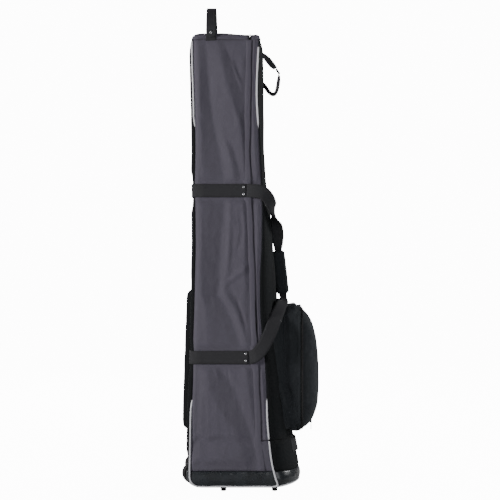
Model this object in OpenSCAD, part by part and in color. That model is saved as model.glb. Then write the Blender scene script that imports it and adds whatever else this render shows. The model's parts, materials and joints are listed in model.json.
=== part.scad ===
// Wheeled golf travel cover, standing on its four feet.
// +X is the front (pouch side), +Y is the bag's left, +Z is up.
// The origin is on the floor under the middle of the overall box.

/* [Body] */
// Height of the top panel above the floor
body_h = 1310; // [1250:10:1400]
// Width across the base
base_w = 332; // [320:2:360]
// Width across the top
top_w = 280; // [270:2:300]
// Thickness of the padded walls
wall = 5; // [4:0.5:6]
// Height of the coated boot around the base
boot_h = 62; // [55:1:75]
// Height of the bag's underside above the floor
base_z = 14; // [12:1:16]
// Diameter of the piping cord
piping_d = 5; // [4:0.5:6]

/* [Wheels] */
// Wheel diameter
wheel_d = 64; // [60:1:66]
// Wheel width
wheel_w = 24; // [22:1:26]
// Distance of each wheel from the middle of the bag
wheel_y = 105; // [95:1:115]
// Axle diameter
axle_d = 8; // [8:0.5:9]

/* [Webbing] */
// Width of the carrying straps and handles
web_w = 38; // [36:1:40]
// Thickness of the webbing
web_t = 2.4; // [2:0.2:3]
// Height of the upper carrying strap's middle
strap_hi_z = 862; // [850:1:870]
// Height of the lower carrying strap's middle
strap_lo_z = 386; // [380:1:392]

/* [Pouch] */
// Half the width of the shoe pouch
pouch_y = 115; // [105:1:118]
// Thickness of the pouch's walls
pouch_wall = 3; // [2.5:0.5:4]

/* [Hidden] */

$fn = 48;
gap = 0.3;                 // clearance between pieces that move apart
corner_r = 20;             // rounding of the back corners
base_r = 32;               // rounding of the base's front and back edges
side_round = 0.3;          // how much of that rounding the sides share
top_r = 12;                // rounding of the top edges
hinge_z = 150;             // fold line of the front flap
seam_in = 10;              // the back piping's distance in front of the back
zip_half = 4;              // half the width of a closed zip chain
top_seam = body_h - 14;    // seam between the walls and the top
arc_steps = 7;             // points on each back corner
front_steps = 18;          // points across the rounded front

// Height, back, front edge of the side panels, middle of the front.
PROFILE = [
    [0, -180, 84, 150], [35, -180, 75, 149], [62, -180, 67, 141], [85, -179, 62, 138],
    [104, -179, 59, 131], [hinge_z, -178, 54, 124], [210, -177, 49, 117], [310, -173, 47, 104],
    [385, -171, 42, 94], [465, -168, 33, 84], [530, -166, 29, 77], [625, -164, 29, 72],
    [700, -162, 34, 64], [800, -163, 36, 55], [880, -165, 32, 41], [975, -163, 27, 35],
    [1120, -165, 23, 34], [1235, -168, 24, 33], [body_h, -168, 26, 30]];
WIDTHS = [[0, base_w / 2], [hinge_z, base_w / 2], [975, base_w / 2 - 16], [body_h, top_w / 2]];
ZIP_LINE = [[0, 28], [hinge_z, 28], [975, -6], [top_seam, 0]];

function column(n) = [for (p = PROFILE) [p[0], p[n]]];
function back_x(z) = lookup(z, column(1));
function edge_x(z) = lookup(z, column(2));
function front_x(z) = lookup(z, column(3));
function half_w(z) = lookup(z, WIDTHS);
function zip_x(z) = lookup(z, ZIP_LINE);
function seam_x(z) = back_x(z) + seam_in;

// ---- lofts -------------------------------------------------------------
// One level of the body: height, growth g, and insets along x and y.
function body_section(z, g, ix, iy) =
    let (xb = back_x(z) - g + ix, xf = front_x(z) + g - ix, xe = min(edge_x(z), xf - 4),
        w = half_w(z) + g - iy, r = corner_r)
    concat(
        [for (i = [0:arc_steps - 1]) let (a = 180 + 90 * i / (arc_steps - 1))
            [xb + r + r * cos(a), -w + r + r * sin(a), z]],
        [for (i = [0:front_steps]) let (a = -90 + 180 * i / front_steps)
            [xe + (xf - xe) * cos(a), w * sin(a), z]],
        [for (i = [0:arc_steps - 1]) let (a = 90 + 90 * i / (arc_steps - 1))
            [xb + r + r * cos(a), w - r + r * sin(a), z]]);

// The solid through a list of rings that have the same number of points.
module loft(rings) {
    n = len(rings[0]);
    m = len(rings);
    polyhedron(
        points = [for (ring = rings) for (p = ring) p],
        faces = concat(
            [[for (i = [0:n - 1]) i]],
            [for (k = [0:m - 2]) for (i = [0:n - 1]) for (t = [0, 1])
                let (a = k * n + i, b = k * n + (i + 1) % n)
                t == 0 ? [a, a + n, b] : [b, a + n, b + n]],
            [[for (i = [n - 1:-1:0]) (m - 1) * n + i]]));
}

// The body between its rounded base and top, grown by g.
module body_solid(g) {
    z0 = base_z - g;
    z1 = body_h + g;
    loft(concat(
        [for (a = [0, 25, 50, 72]) let (c = base_r * (1 - sin(a)))
            body_section(z0 + base_r * (1 - cos(a)), g, c, c * side_round)],
        [for (p = PROFILE) if (p[0] > z0 + base_r + 1 && p[0] < z1 - top_r - 1)
            body_section(p[0], g, 0, 0)],
        [for (a = [0, 45, 90]) let (c = top_r * (1 - cos(a)))
            body_section(z1 - top_r + top_r * sin(a), g, c, c)]));
}

module shell() {
    difference() {
        body_solid(0);
        body_solid(-wall);
    }
}

// A slab across the bag with a side outline, from y0 to y1.
module across(outline, y0, y1) {
    translate([0, y1, 0]) rotate([90, 0, 0]) linear_extrude(y1 - y0) polygon(outline);
}

function heights(z0, z1) = concat([z0], [for (p = PROFILE) if (p[0] > z0 + 1 && p[0] < z1 - 1) p[0]], [z1]);
function down(list) = [for (i = [len(list) - 1:-1:0]) list[i]];

// Where the body's surface lies in front, at one distance from the middle.
function surface_x(y, z) = edge_x(z) + (front_x(z) - edge_x(z)) * cos(asin(y / half_w(z)));

// Side outlines of the panels. Neighbours leave the width of a stitched seam between them.
FAR = 400;
seam = 0.2;
wall_heights = heights(boot_h, top_seam);
flap_heights = heights(hinge_z + gap, top_seam);
body_outline = concat(
    [for (z = wall_heights) [seam_x(z), z]],
    [for (z = down(heights(hinge_z - gap, top_seam))) [zip_x(z) - zip_half, z]],
    [for (z = down(heights(boot_h, hinge_z - gap))) [edge_x(z) - seam, z]]);
back_outline = concat([for (z = wall_heights) [seam_x(z) - seam, z]], [[-FAR, top_seam], [-FAR, boot_h]]);
strip_outline = concat(
    [for (z = flap_heights) [zip_x(z) + zip_half, z]],
    [for (z = down(flap_heights)) [edge_x(z) - seam, z]]);
front_outline = concat(
    [for (z = flap_heights) [edge_x(z), z]],
    [[FAR, top_seam], [FAR, hinge_z + gap]]);
kick_outline = concat(
    [for (z = heights(boot_h, hinge_z - gap)) [edge_x(z), z]],
    [[FAR, hinge_z - gap], [FAR, boot_h]]);

module housing_cuts() {
    for (s = [-1, 1]) translate([-200, s * wheel_y - housing_half - seam, 0])
        cube([200 + housing_x + seam, 2 * (housing_half + seam), housing_top + seam]);
}

module panel(outline, y0, y1) {
    intersection() {
        shell();
        across(outline, y0, y1);
    }
}

// ---- fabric panels of the body -------------------------------------------
module side_panel(s) {
    color([0.33, 0.32, 0.36]) panel(body_outline, s < 0 ? -200 : 0, s < 0 ? 0 : 200);
}

module back_panel() {
    color([0.1, 0.11, 0.12]) difference() {
        panel(back_outline, -200, 200);
        housing_cuts();
    }
}

module top_panel() {
    color([0.33, 0.32, 0.36]) intersection() {
        shell();
        across([[-FAR, top_seam], [-FAR, FAR * 4], [zip_x(body_h) - zip_half, FAR * 4],
            [zip_x(body_h) - zip_half, top_seam]], -200, 200);
    }
}

module kick_panel() {
    color([0.1, 0.11, 0.12]) panel(kick_outline, -200, 200);
}

module boot() {
    color([0.13, 0.14, 0.16]) difference() {
        intersection() {
            shell();
            translate([-FAR, -FAR, 0]) cube([2 * FAR, 2 * FAR, boot_h]);
        }
        housing_cuts();
        foot_places() cylinder(d = 5, h = 60);
    }
}

// ---- stiffeners and padding ----------------------------------------------
board_z = base_z + wall;
board_t = 4;

module base_board() {
    color([0.08, 0.08, 0.09]) difference() {
        translate([0, 0, board_z + gap]) linear_extrude(board_t)
            polygon([for (p = body_section(60, -wall - 4, base_r - 3, 8)) [p[0], p[1]]]);
        housing_cuts();
        foot_places() cylinder(d = 5, h = 60);
    }
}

// Flat stay inside the back, which keeps the bag upright.
stay_low = 120;
stay_high = 1180;
stay_half_w = 110;
module back_stay_board() {
    color([0.2, 0.2, 0.2]) intersection() {
        across(concat(
            [for (z = heights(stay_low, stay_high)) [back_x(z) + wall + 0.2, z]],
            [for (z = down(heights(stay_low, stay_high))) [back_x(z) + wall + 3.2, z]]), -stay_half_w, stay_half_w);
        translate([-FAR, -stay_half_w, stay_low]) cube([FAR, 2 * stay_half_w, stay_high - stay_low]);
    }
}

// Foam lining around the club heads, on the body's side of the zip.
pad_low = 990;
pad_t = 10;
module hood_padding() {
    color([0.25, 0.25, 0.27]) intersection() {
        difference() {
            body_solid(-wall - 0.2);
            body_solid(-wall - pad_t);
            translate([-FAR, -stay_half_w - 1, 0]) cube([FAR - 150, 2 * stay_half_w + 2, stay_high + 1]);
        }
        across(concat(
            [for (z = heights(pad_low, body_h)) [back_x(z) - 5, z]],
            [for (z = down(heights(pad_low, body_h))) [zip_x(z) - 14, z]]), -200, 200);
    }
}

// Foam-filled pad that the back rests on when the bag is tilted or laid down.
rub_low = 196;
rub_high = 566;
rub_half_w = 100;
rub_t = 10;
module back_rub_pad() {
    color([0.12, 0.13, 0.14]) difference() {
        across([[back_x(rub_low - 24) + 2, rub_low - 24], [back_x(rub_low) - rub_t, rub_low],
            [back_x(rub_high) - rub_t, rub_high], [back_x(rub_high + 16) + 2, rub_high + 16]],
            -rub_half_w, rub_half_w);
        body_solid(0);
    }
}

// ---- piping -----------------------------------------------------------------
// A tube swept along points that stay near one side plane.
module side_tube(points, d) {
    n = len(points);
    rings = [for (i = [0:n - 1])
        let (a = points[max(i - 1, 0)], b = points[min(i + 1, n - 1)], t = (b - a) / norm(b - a),
            u = cross(t, [0, 1, 0]) / norm(cross(t, [0, 1, 0])), v = cross(t, u))
        [for (k = [0:7]) points[i] + (cos(45 * k) * u + sin(45 * k) * v) * d / 2]];
    loft(rings);
}

pipe_out = piping_d / 2 + 0.3;
pipe_low = base_z + 4;         // the piping's height along the bottom edge
pipe_turn = 28;                // its rounding at the lower back corner

// How far the sides lean in below the base's rounding.
function side_in(z) = z > base_z + base_r ? 0
    : side_round * base_r * (1 - sin(acos(1 - (z - base_z) / base_r)));
function side_point(x, z, s) = [x, s * (half_w(z) - side_in(z) + pipe_out), z];

// Down the back seam, round the lower corner, along the bottom and up the front seam.
function piping_path(s) = concat(
    [for (z = down(heights(base_z + base_r + 2, top_seam - 6))) side_point(seam_x(z) - 2.5, z, s)],
    [for (a = [0:18:90]) let (z = base_z + base_r - (base_z + base_r - pipe_low) * sin(a))
        side_point(seam_x(z) - 2.5 + pipe_turn * (1 - cos(a)), z, s)],
    [side_point(-60, pipe_low, s), side_point(40, pipe_low, s), side_point(72, pipe_low, s),
        side_point(77.5, pipe_low + 3, s), side_point(edge_x(27), 27, s)],
    [for (z = heights(50, hinge_z - 3)) side_point(edge_x(z), z, s)]);

module side_piping(s) {
    color("white") difference() {
        side_tube(piping_path(s), piping_d);
        for (z = [strap_lo_z, strap_hi_z]) translate([-FAR, -FAR, z - web_w / 2 - 0.5])
            cube([FAR, 2 * FAR, web_w + 1]);
    }
}

module flap_piping() {
    color("white") for (s = [-1, 1])
        side_tube([for (z = heights(hinge_z + 3, top_seam - 4)) side_point(edge_x(z), z, s)], piping_d);
}

// ---- feet ---------------------------------------------------------------------
foot_y = 118;
foot_back_x = -76;
foot_front_x = 71;
foot_r = 8;

module foot_places() {
    for (x = [foot_back_x, foot_front_x], y = [-foot_y, foot_y]) translate([x, y, 0]) children();
}

module feet() {
    color([0.06, 0.06, 0.06]) foot_places() difference() {
        rotate_extrude() polygon([[0, 0], [foot_r - 2, 0], [foot_r, 2.5], [foot_r + 1, base_z - gap],
            [0, base_z - gap]]);
        translate([0, 0, 5]) cylinder(d = 4, h = base_z);
    }
}

module foot_screws() {
    color("silver") foot_places() {
        translate([0, 0, 6]) cylinder(d = 3.9, h = board_z + board_t + 1 - 6);
        translate([0, 0, board_z + board_t + 0.4]) cylinder(d1 = 9, d2 = 6, h = 2.4);
    }
}

// ---- wheels ---------------------------------------------------------------------
axle_x = -164;
axle_z = 51;
cheek = 4.5;
pocket_half = wheel_w / 2 + 1.5;
housing_half = pocket_half + cheek;
housing_x = -117;              // front of the housings
housing_top = 103;
bearing_r = 11;
bearing_w = 7;
core_r = 19;

module at_axle(s) {
    translate([axle_x, s * wheel_y, axle_z]) rotate([90, 0, 0]) children();
}

module wheel_housing(s) {
    color([0.07, 0.07, 0.08]) difference() {
        translate([-179.5, s * wheel_y - housing_half, base_z + 0.5])
            cube([179.5 + housing_x, 2 * housing_half, housing_top - base_z - 0.5]);
        at_axle(s) {
            cylinder(r = wheel_d / 2 + 3, h = 2 * pocket_half, center = true);
            cylinder(d = axle_d, h = 100, center = true);
        }
        // the mouth towards the back and the floor
        translate([axle_x - 100, s * wheel_y - pocket_half, axle_z]) cube([100, 2 * pocket_half, 35]);
        translate([axle_x - 100, s * wheel_y - pocket_half, 0]) cube([135, 2 * pocket_half, axle_z]);
        // the cheeks follow the rounded lower back edge
        difference() {
            translate([-190, s * wheel_y - 40, 0]) cube([10 + base_r, 80, base_z + base_r]);
            translate([base_r - 179.5, s * wheel_y + 50, base_z + base_r]) rotate([90, 0, 0])
                cylinder(r = base_r - 0.5, h = 100);
        }
        housing_screw_places(s) cylinder(d = 4, h = 30, center = true);
    }
}

module housing_screw_places(s) {
    for (dy = [-11, 11]) translate([-134, s * wheel_y + dy, 100]) children();
}

module housing_screws() {
    color("silver") for (s = [-1, 1]) housing_screw_places(s) {
        translate([0, 0, -6]) cylinder(d = 3.8, h = 9);
        translate([0, 0, 3.2]) cylinder(d = 8, h = 2.4);
    }
}

module axle(s) {
    color("silver") at_axle(s) {
        cylinder(d = axle_d, h = 2 * housing_half + 4, center = true);
        translate([0, 0, housing_half + gap / 3]) cylinder(d = 13, h = 2.2);
    }
}

module axle_nuts() {
    color("silver") for (s = [-1, 1]) at_axle(s) translate([0, 0, -housing_half - 3.1]) difference() {
        cylinder(d = 14, h = 3, $fn = 6);
        cylinder(d = axle_d + 0.02, h = 20, center = true, $fn = 48);
    }
}

module tyre(s) {
    color([0.05, 0.05, 0.05]) at_axle(s) rotate_extrude($fn = 72) polygon(concat(
        [[core_r, -wheel_w / 2 + 2], [core_r, wheel_w / 2 - 2]],
        [for (a = [90:-15:-90]) [wheel_d / 2 - 9 + 9 * cos(a), (wheel_w / 2 - 1) * sin(a)]]));
}

module wheel_core(s) {
    color([0.75, 0.75, 0.75]) at_axle(s) difference() {
        cylinder(r = core_r, h = wheel_w - 4, center = true);
        cylinder(r = bearing_r - 2, h = wheel_w, center = true);
        for (m = [0, 1]) mirror([0, 0, m]) translate([0, 0, wheel_w / 2 - 2 - bearing_w])
            cylinder(r = bearing_r, h = bearing_w + 1);
        for (a = [0:60:300]) rotate([0, 0, a]) translate([15, 0, wheel_w / 2 - 6])
            cylinder(d = 4.5, h = 10);
    }
}

// Two ball bearings and the sleeve that spaces them, with a running fit on the axle.
module bearings(s) {
    color("silver") at_axle(s) difference() {
        union() {
            for (m = [0, 1]) mirror([0, 0, m]) translate([0, 0, wheel_w / 2 - 2 - bearing_w])
                cylinder(r = bearing_r, h = bearing_w);
            cylinder(r = 6, h = wheel_w - 4 - 2 * bearing_w + 1, center = true);
        }
        cylinder(r = axle_d / 2 + 0.05, h = wheel_w + 2, center = true);
    }
}

// ---- carrying straps ---------------------------------------------------------
strap_off = 0.3;
strap_end_hi = -10;
strap_end_lo = -4;
rivet_hi = [[-18.5, 872.6], [-18.5, 851.8]];
rivet_lo = [[-12.5, 397], [-12.5, 377]];

// A band sewn round the back, from side to side.
module band(z_mid, x_end) {
    levels = heights(z_mid - web_w / 2, z_mid + web_w / 2);
    inner = concat([z_mid - web_w / 2 - 2], heights(z_mid - web_w / 2 + 1, z_mid + web_w / 2 + 2));
    color([0.08, 0.09, 0.09]) intersection() {
        difference() {
            loft([for (z = levels) body_section(z, strap_off + web_t, 0, 0)]);
            loft([for (z = inner) body_section(z, strap_off, 0, 0)]);
        }
        translate([-FAR, -FAR, 0]) cube([FAR + x_end, 2 * FAR, 2000]);
    }
}

// The lower band is sewn to both edges of the rub pad.
module strap_lower() {
    difference() {
        band(strap_lo_z, strap_end_lo);
        translate([-FAR, -rub_half_w - gap, 0]) cube([FAR, 2 * (rub_half_w + gap), FAR * 3]);
    }
}

module strap_rivets() {
    color([0.85, 0.85, 0.85]) for (s = [-1, 1], p = concat(rivet_hi, rivet_lo))
        translate([p[0], s * (half_w(p[1]) + strap_off + web_t + 0.15), p[1]]) rotate([-90 * s, 0, 0])
            cylinder(d1 = 8, d2 = 6, h = 2);
}

// A flat ribbon through rows of [point, direction across it, width].
module ribbon(rows, thick) {
    n = len(rows);
    loft([for (i = [0:n - 1])
        let (a = rows[max(i - 1, 0)][0], b = rows[min(i + 1, n - 1)][0], t = (b - a) / norm(b - a),
            w0 = rows[i][1], w1 = w0 - (w0 * t) * t, w = w1 / norm(w1) * rows[i][2] / 2,
            v = cross(t, w) / norm(w) * thick / 2, p = rows[i][0])
        [p - w - v, p + w - v, p + w + v, p - w + v]]);
}

// One carrying handle for the right side; the left one is its mirror image.
// It stands off the side far enough for the zip slider to pass under it.
grip_web = 23;                 // width of the webbing where the wrap folds it
HANDLE_ROWS = [
    [[-9.2, -154, 862], [0, 0, 1], web_w], [[0, -159, 862], [0, 0, 1], web_w],
    [[10, -163, 861], [0, 0, 1], web_w], [[30, -165, 859], [-0.15, 0, 1], web_w],
    [[48, -160, 849], [-0.45, 0, 1], web_w], [[62, -146, 829], [-0.8, -0.2, 1], web_w],
    [[72, -124, 800], [-1, -0.5, 0.7], web_w], [[79, -92, 770], [-1, -0.7, 0.3], web_w],
    [[85, -56, 742], [-1, -0.7, 0], web_w], [[87, -28, 716], [-1, -0.5, 0], 34],
    [[84, -9, 694], [-1, 0, 0], grip_web], [[87.5, -8, 650], [-1, 0, 0], grip_web],
    [[91.5, -8, 610], [-1, 0, 0], grip_web], [[96.8, -8.5, 563], [-1, 0, 0], grip_web],
    [[98.5, -11, 556], [-1, -0.2, 0], grip_web + 3], [[101, -30, 551], [-1, -0.5, 0], 34],
    [[100, -60, 549], [-1, -0.3, 0.3], web_w],
    [[96, -96, 542], [-1, -0.2, 0.6], web_w], [[89, -124, 522], [-1, 0, 0.75], web_w],
    [[76, -147, 494], [-1, 0, 0.7], web_w], [[59, -167, 456], [-1, 0, 0.7], web_w],
    [[43, -172, 422], [-0.8, 0, 0.8], web_w], [[28, -173, 402], [-0.5, 0, 0.9], web_w],
    [[15, -172, 391], [-0.2, 0, 1], web_w], [[4, -167, 387], [0, 0, 1], web_w],
    [[-2, -164.2, 386], [0, 0, 1], web_w]];

module handle(s) {
    color([0.08, 0.09, 0.09]) mirror([0, s > 0 ? 1 : 0, 0]) ribbon(HANDLE_ROWS, web_t);
}

// Padded wrap that holds both handles together, rolled into a flat tube.
grip_x = 33;
grip_y = 36;
grip_l = 127;
grip_t = 3.5;
module grip_wrap() {
    color([0.1, 0.11, 0.12]) translate([83, 0, 690]) rotate([0, 180 - 6.2, 0]) difference() {
        linear_extrude(grip_l) offset(r = 8) square([grip_x - 16, grip_y - 16], center = true);
        translate([0, 0, -5]) linear_extrude(grip_l + 10) offset(r = 4)
            square([grip_x - 2 * grip_t - 8, grip_y - 2 * grip_t - 8], center = true);
    }
}

// ---- top handle ------------------------------------------------------------------
top_x = -112;
top_web = 28;
top_handle_h = 1402;
tab_t = 2.4;
pivot_z = body_h + 5;
tab_y = top_w / 2 + 1.2;       // inner face of the sewn tabs
loop_t = 3.6;
loop_y = tab_y + tab_t + gap;  // inner face of the loop's ends

// Tabs sewn to the top edge of both sides.
module top_handle_tabs() {
    color([0.09, 0.09, 0.09]) for (s = [0, 1]) mirror([0, s, 0]) translate([0, tab_y, 0]) {
        difference() {
            union() {
                translate([top_x - top_web / 2, 0, body_h - 20]) cube([top_web, tab_t, pivot_z - body_h + 20]);
                translate([top_x, 0, pivot_z]) rotate([-90, 0, 0]) cylinder(d = top_web, h = tab_t);
            }
            translate([top_x, -1, pivot_z]) rotate([-90, 0, 0]) cylinder(d = 6, h = 10);
        }
    }
}

// The padded loop that arches over the top and swings on the two rivets.
module top_handle_strap() {
    y_end = loop_y + loop_t / 2;
    rise = top_handle_h - loop_t / 2 - pivot_z - 18;
    arch = [for (a = [180:-10:0]) [[top_x, y_end * cos(a) * (abs(cos(a)) > 0.99 ? 1 : 0.97),
        pivot_z + 18 + rise * sin(a)], [1, 0, 0], top_web]];
    color([0.09, 0.09, 0.09]) {
        ribbon(concat([for (z = [3.6, 15]) [[top_x, -y_end, pivot_z + z], [1, 0, 0], top_web]], arch,
            [for (z = [15, 3.6]) [[top_x, y_end, pivot_z + z], [1, 0, 0], top_web]]), loop_t);
        for (s = [0, 1]) mirror([0, s, 0]) translate([top_x, loop_y, pivot_z]) rotate([-90, 0, 0])
            difference() {
                cylinder(d = top_web, h = loop_t);
                translate([0, 0, -1]) cylinder(d = 6.6, h = 10);
            }
    }
}

module top_handle_rivets() {
    color("silver") for (s = [0, 1]) mirror([0, s, 0]) translate([top_x, tab_y, pivot_z])
        rotate([-90, 0, 0]) {
            translate([0, 0, -1.6]) cylinder(d = 9, h = 1.5);
            translate([0, 0, -0.2]) cylinder(d = 5.9, h = tab_t + loop_t + gap + 0.8);
            translate([0, 0, tab_t + loop_t + 2 * gap]) cylinder(d1 = 10, d2 = 6, h = 2);
        }
}

// ---- main zip --------------------------------------------------------------------
module zip_strip(x0, x1) {
    levels = concat(heights(hinge_z + gap, top_seam), [body_h]);
    intersection() {
        difference() {
            body_solid(1);
            body_solid(-1.5);
        }
        across(concat(
            [for (z = levels) [zip_x(z) + x0, z]], [[zip_x(body_h) + x0, body_h + 9]],
            [[zip_x(body_h) + x1, body_h + 9]], [for (z = down(levels)) [zip_x(z) + x1, z]]), -200, 200);
    }
}

module zip_tape_body() {
    color([0.05, 0.05, 0.05]) zip_strip(-zip_half, -gap);
}

module zip_tape_flap() {
    color([0.05, 0.05, 0.05]) zip_strip(gap, zip_half);
}

// The zip's straight run on the left side.
run_low = [zip_x(hinge_z), half_w(hinge_z), hinge_z];
run_high = [zip_x(975), half_w(975), 975];
run_dir = (run_high - run_low) / norm(run_high - run_low);
lean_x = atan2(run_dir[0], run_dir[2]);
lean_y = atan2(run_dir[1], run_dir[2]);
slider_l = 17;
slider_w = 13;

function run_at(z) = run_low + run_dir * (z - hinge_z) / run_dir[2];

// Stands a child on the zip line of the left side: its z runs along the zip, its y points out.
module on_run(z) {
    translate(run_at(z)) rotate([-lean_y, lean_x, 0]) children();
}

// Outer plate with the crown that carries the pull, and the inner plate behind the chain.
plate_t = 1.4;
plate_y = 1.4;                 // the outer plate's underside above the wall
eye_y = 4.4;                   // the pull's pin above the wall
crown_w = 3;
module slider(inner_plate = true) {
    color("silver") {
        translate([-slider_w / 2, plate_y, -slider_l / 2]) cube([slider_w, plate_t, slider_l]);
        for (z = [-4.2, 3]) translate([-crown_w / 2, plate_y + 1, z]) cube([crown_w, 4.6, 1.2]);
        translate([-crown_w / 2, 5.8, -4.2]) cube([crown_w, 1.2, 8.4]);
        if (inner_plate) translate([-3.4, -3.3, -slider_l / 2]) cube([6.8, plate_t, slider_l]);
    }
}

// The pull turns on a pin through the crown, and its legs stand beside the crown.
// At tilt 0 it points down the zip, at 180 up it, and at 90 straight out.
module slider_pull(tilt) {
    color([0.06, 0.06, 0.06]) translate([0, eye_y, 0]) rotate([tilt, 0, 0]) rotate([0, 90, 0]) {
        cylinder(d = 1.6, h = 7.6, center = true);
        for (x = [-3.8, 2.2]) translate([0, -0.8, x]) {
            cube([9, 1.6, 1.6]);
            translate([0, 0.8, 0]) cylinder(d = 1.6, h = 1.6);
        }
        difference() {
            translate([8, -0.8, -4]) cube([28, 1.6, 8]);
            translate([31, 0, 0]) rotate([90, 0, 0]) cylinder(d = 3.5, h = 10, center = true);
        }
    }
}

slider_lower_z = 610;
slider_upper_z = slider_lower_z + slider_l + 1.5;

// ---- front flap --------------------------------------------------------------------
module flap_front() {
    color([0.1, 0.11, 0.12]) panel(front_outline, -200, 200);
}

module flap_side(s) {
    color([0.33, 0.32, 0.36]) panel(strip_outline, s < 0 ? -200 : 120, s < 0 ? -120 : 200);
}

module flap_top() {
    color([0.33, 0.32, 0.36]) intersection() {
        shell();
        across([[zip_x(body_h) + zip_half, top_seam], [zip_x(body_h) + zip_half, FAR * 4],
            [FAR, FAR * 4], [FAR, top_seam]], -200, 200);
    }
}

// ---- pouch ----------------------------------------------------------------------------
// Depth, bottom, top, half width and corner radius of the pouch's sections.
GUSSET = [[40, 172, 520, pouch_y, 45], [123, 169, 534, pouch_y, 45], [142, 171, 527, pouch_y, 45]];
LID = [[151, 174, 523, pouch_y, 45], [165, 184, 510, pouch_y - 5, 45], [177, 197, 486, pouch_y - 15, 42],
    [189, 228, 434, pouch_y - 34, 36], [196, 248, 362, pouch_y - 58, 30]];
pouch_zip_x = 146.5;           // the closed zip's middle
pouch_hinge_y = pouch_y + 1.3;

function pouch_section(row, g) =
    let (r = row[4] + g, y = row[3] + g, low = row[1] - g, high = row[2] + g)
    [for (q = [0:3], i = [0:5]) let (a = 90 * q + 18 * i,
        cy = (q == 0 || q == 3 ? 1 : -1) * (y - r), cz = q < 2 ? high - r : low + r)
        [row[0], cy + r * cos(a), cz + r * sin(a)]];

module pouch_solid(rows, g) {
    loft([for (row = rows) pouch_section(row, g)]);
}

function shifted(rows, dx0, dx1) = [for (i = [0:len(rows) - 1])
    let (r = rows[i]) [r[0] + (i == 0 ? dx0 : i == len(rows) - 1 ? dx1 : 0), r[1], r[2], r[3], r[4]]];

module pouch_gusset() {
    color([0.11, 0.12, 0.13]) difference() {
        pouch_solid(GUSSET, 0);
        pouch_solid(shifted(GUSSET, -1, 1), -pouch_wall);
        body_solid(0);
    }
}

// One row of the pouch's zip, between two depths. The left edge stays sewn and is the hinge.
module pouch_zip(x0, x1) {
    function at(x) = let (k = (x - GUSSET[2][0]) / (LID[0][0] - GUSSET[2][0]), a = GUSSET[2], b = LID[0])
        [x, a[1] + (b[1] - a[1]) * k, a[2] + (b[2] - a[2]) * k, pouch_y, a[4]];
    color([0.05, 0.05, 0.05]) difference() {
        pouch_solid([at(x0), at(x1)], 0.6);
        pouch_solid([at(x0 - 1), at(x1 + 1)], -1.6);
        translate([0, pouch_y - 10, 0]) cube([FAR, 50, FAR * 2]);
    }
}

module pouch_lid() {
    color([0.11, 0.12, 0.13]) difference() {
        pouch_solid(LID, 0);
        pouch_solid(shifted(LID, -1, -pouch_wall), -pouch_wall);
    }
}

// Slider on top of the pouch, on the zip's straight run along y, with its pull laid flat.
pouch_slider_y = 56;
pouch_zip_z = (GUSSET[2][2] + LID[0][2]) / 2;
pouch_lean = atan((GUSSET[2][2] - LID[0][2]) / (LID[0][0] - GUSSET[2][0]));
module on_pouch() {
    translate([pouch_zip_x, pouch_slider_y, pouch_zip_z]) rotate([0, pouch_lean, 0]) rotate([90, 0, 0])
        children();
}

// Ear and pull of the front pocket's zip, hanging below the lid's lower front edge.
pocket_eye = [178, -45, 190];
module pocket_ear() {
    color("silver") difference() {
        translate(pocket_eye) {
            rotate([90, 0, 0]) cylinder(d = 5, h = 3, center = true);
            translate([-2.5, -1.5, 0]) cube([5, 3, 11]);
        }
        pouch_solid(LID, 0.1);
        translate(pocket_eye) rotate([90, 0, 0]) cylinder(d = 2.4, h = 10, center = true);
    }
}

module pocket_pull() {
    color("silver") translate(pocket_eye) {
        rotate([90, 0, 0]) cylinder(d = 1.6, h = 6.4, center = true);
        for (y = [-3.2, 1.9]) translate([-0.8, y, -8]) cube([1.6, 1.3, 8]);
        translate([-1, -4, -20]) cube([2, 8, 13]);
    }
}

// ---- tie strap ----------------------------------------------------------------------------
// Webbing loop with a ladder buckle, sewn flat to the front flap at both ends.
tie_w = 20;
tie_t = 1.6;
TIE_UPPER = [[[front_x(1290) + 1.4, -10, 1290], [0, 1, 0.1], tie_w],
    [[front_x(1274) + 1.4, -10, 1274], [0, 1, 0.2], tie_w],
    [[50, -11, 1254], [0.3, 1, 0.4], tie_w], [[64, -13, 1237], [0.3, 1, 0.45], tie_w],
    [[75, -14.5, 1225], [0.3, 1, 0.45], tie_w]];
TIE_TAIL = [[[85.5, -16.5, 1206], [0.1, 1, 0], tie_w], [[84, -17, 1190], [0.1, 1, 0], tie_w],
    [[80, -18, 1166], [0.15, 1, 0], tie_w], [[75, -18, 1153], [0.2, 1, 0], tie_w],
    [[67, -17, 1149], [0.2, 1, 0.1], tie_w], [[56, -14, 1156], [0.2, 1, 0.2], tie_w],
    [[45, -12, 1172], [0.1, 1, 0.1], tie_w], [[front_x(1190) + 1.8, -10, 1190], [0, 1, 0], tie_w],
    [[front_x(1206) + 1.4, -10, 1206], [0, 1, 0], tie_w]];

module tie_strap() {
    color([0.07, 0.07, 0.07]) {
        ribbon(TIE_UPPER, tie_t);
        ribbon(TIE_TAIL, tie_t);
    }
}

module tie_buckle() {
    color([0.04, 0.04, 0.04]) translate([81.5, -15.5, 1216]) rotate([0, 55, 0]) difference() {
        translate([-9, -14, -2]) cube([18, 28, 4.5]);
        for (x = [-5.6, 2.4]) translate([x, -11, -6]) cube([3.2, 22, 12]);
    }
}

// ---- foot handle -----------------------------------------------------------------------------
// Webbing grab handle across the kick panel, bowed out for the fingers.
foot_z = 127;
foot_half = 72;
foot_sewn = 16;
foot_bow = 6.5;
module foot_handle() {
    reach = foot_half + foot_sewn;
    function bow(y) = abs(y) < foot_half ? foot_bow * cos(90 * y / foot_half) : 0;
    color([0.08, 0.09, 0.09]) ribbon([for (y = [-reach:8:reach])
        [[surface_x(y, foot_z) + 2.6 + bow(y), y, foot_z], [-0.2, 0, 1], web_w]], web_t);
}

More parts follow.
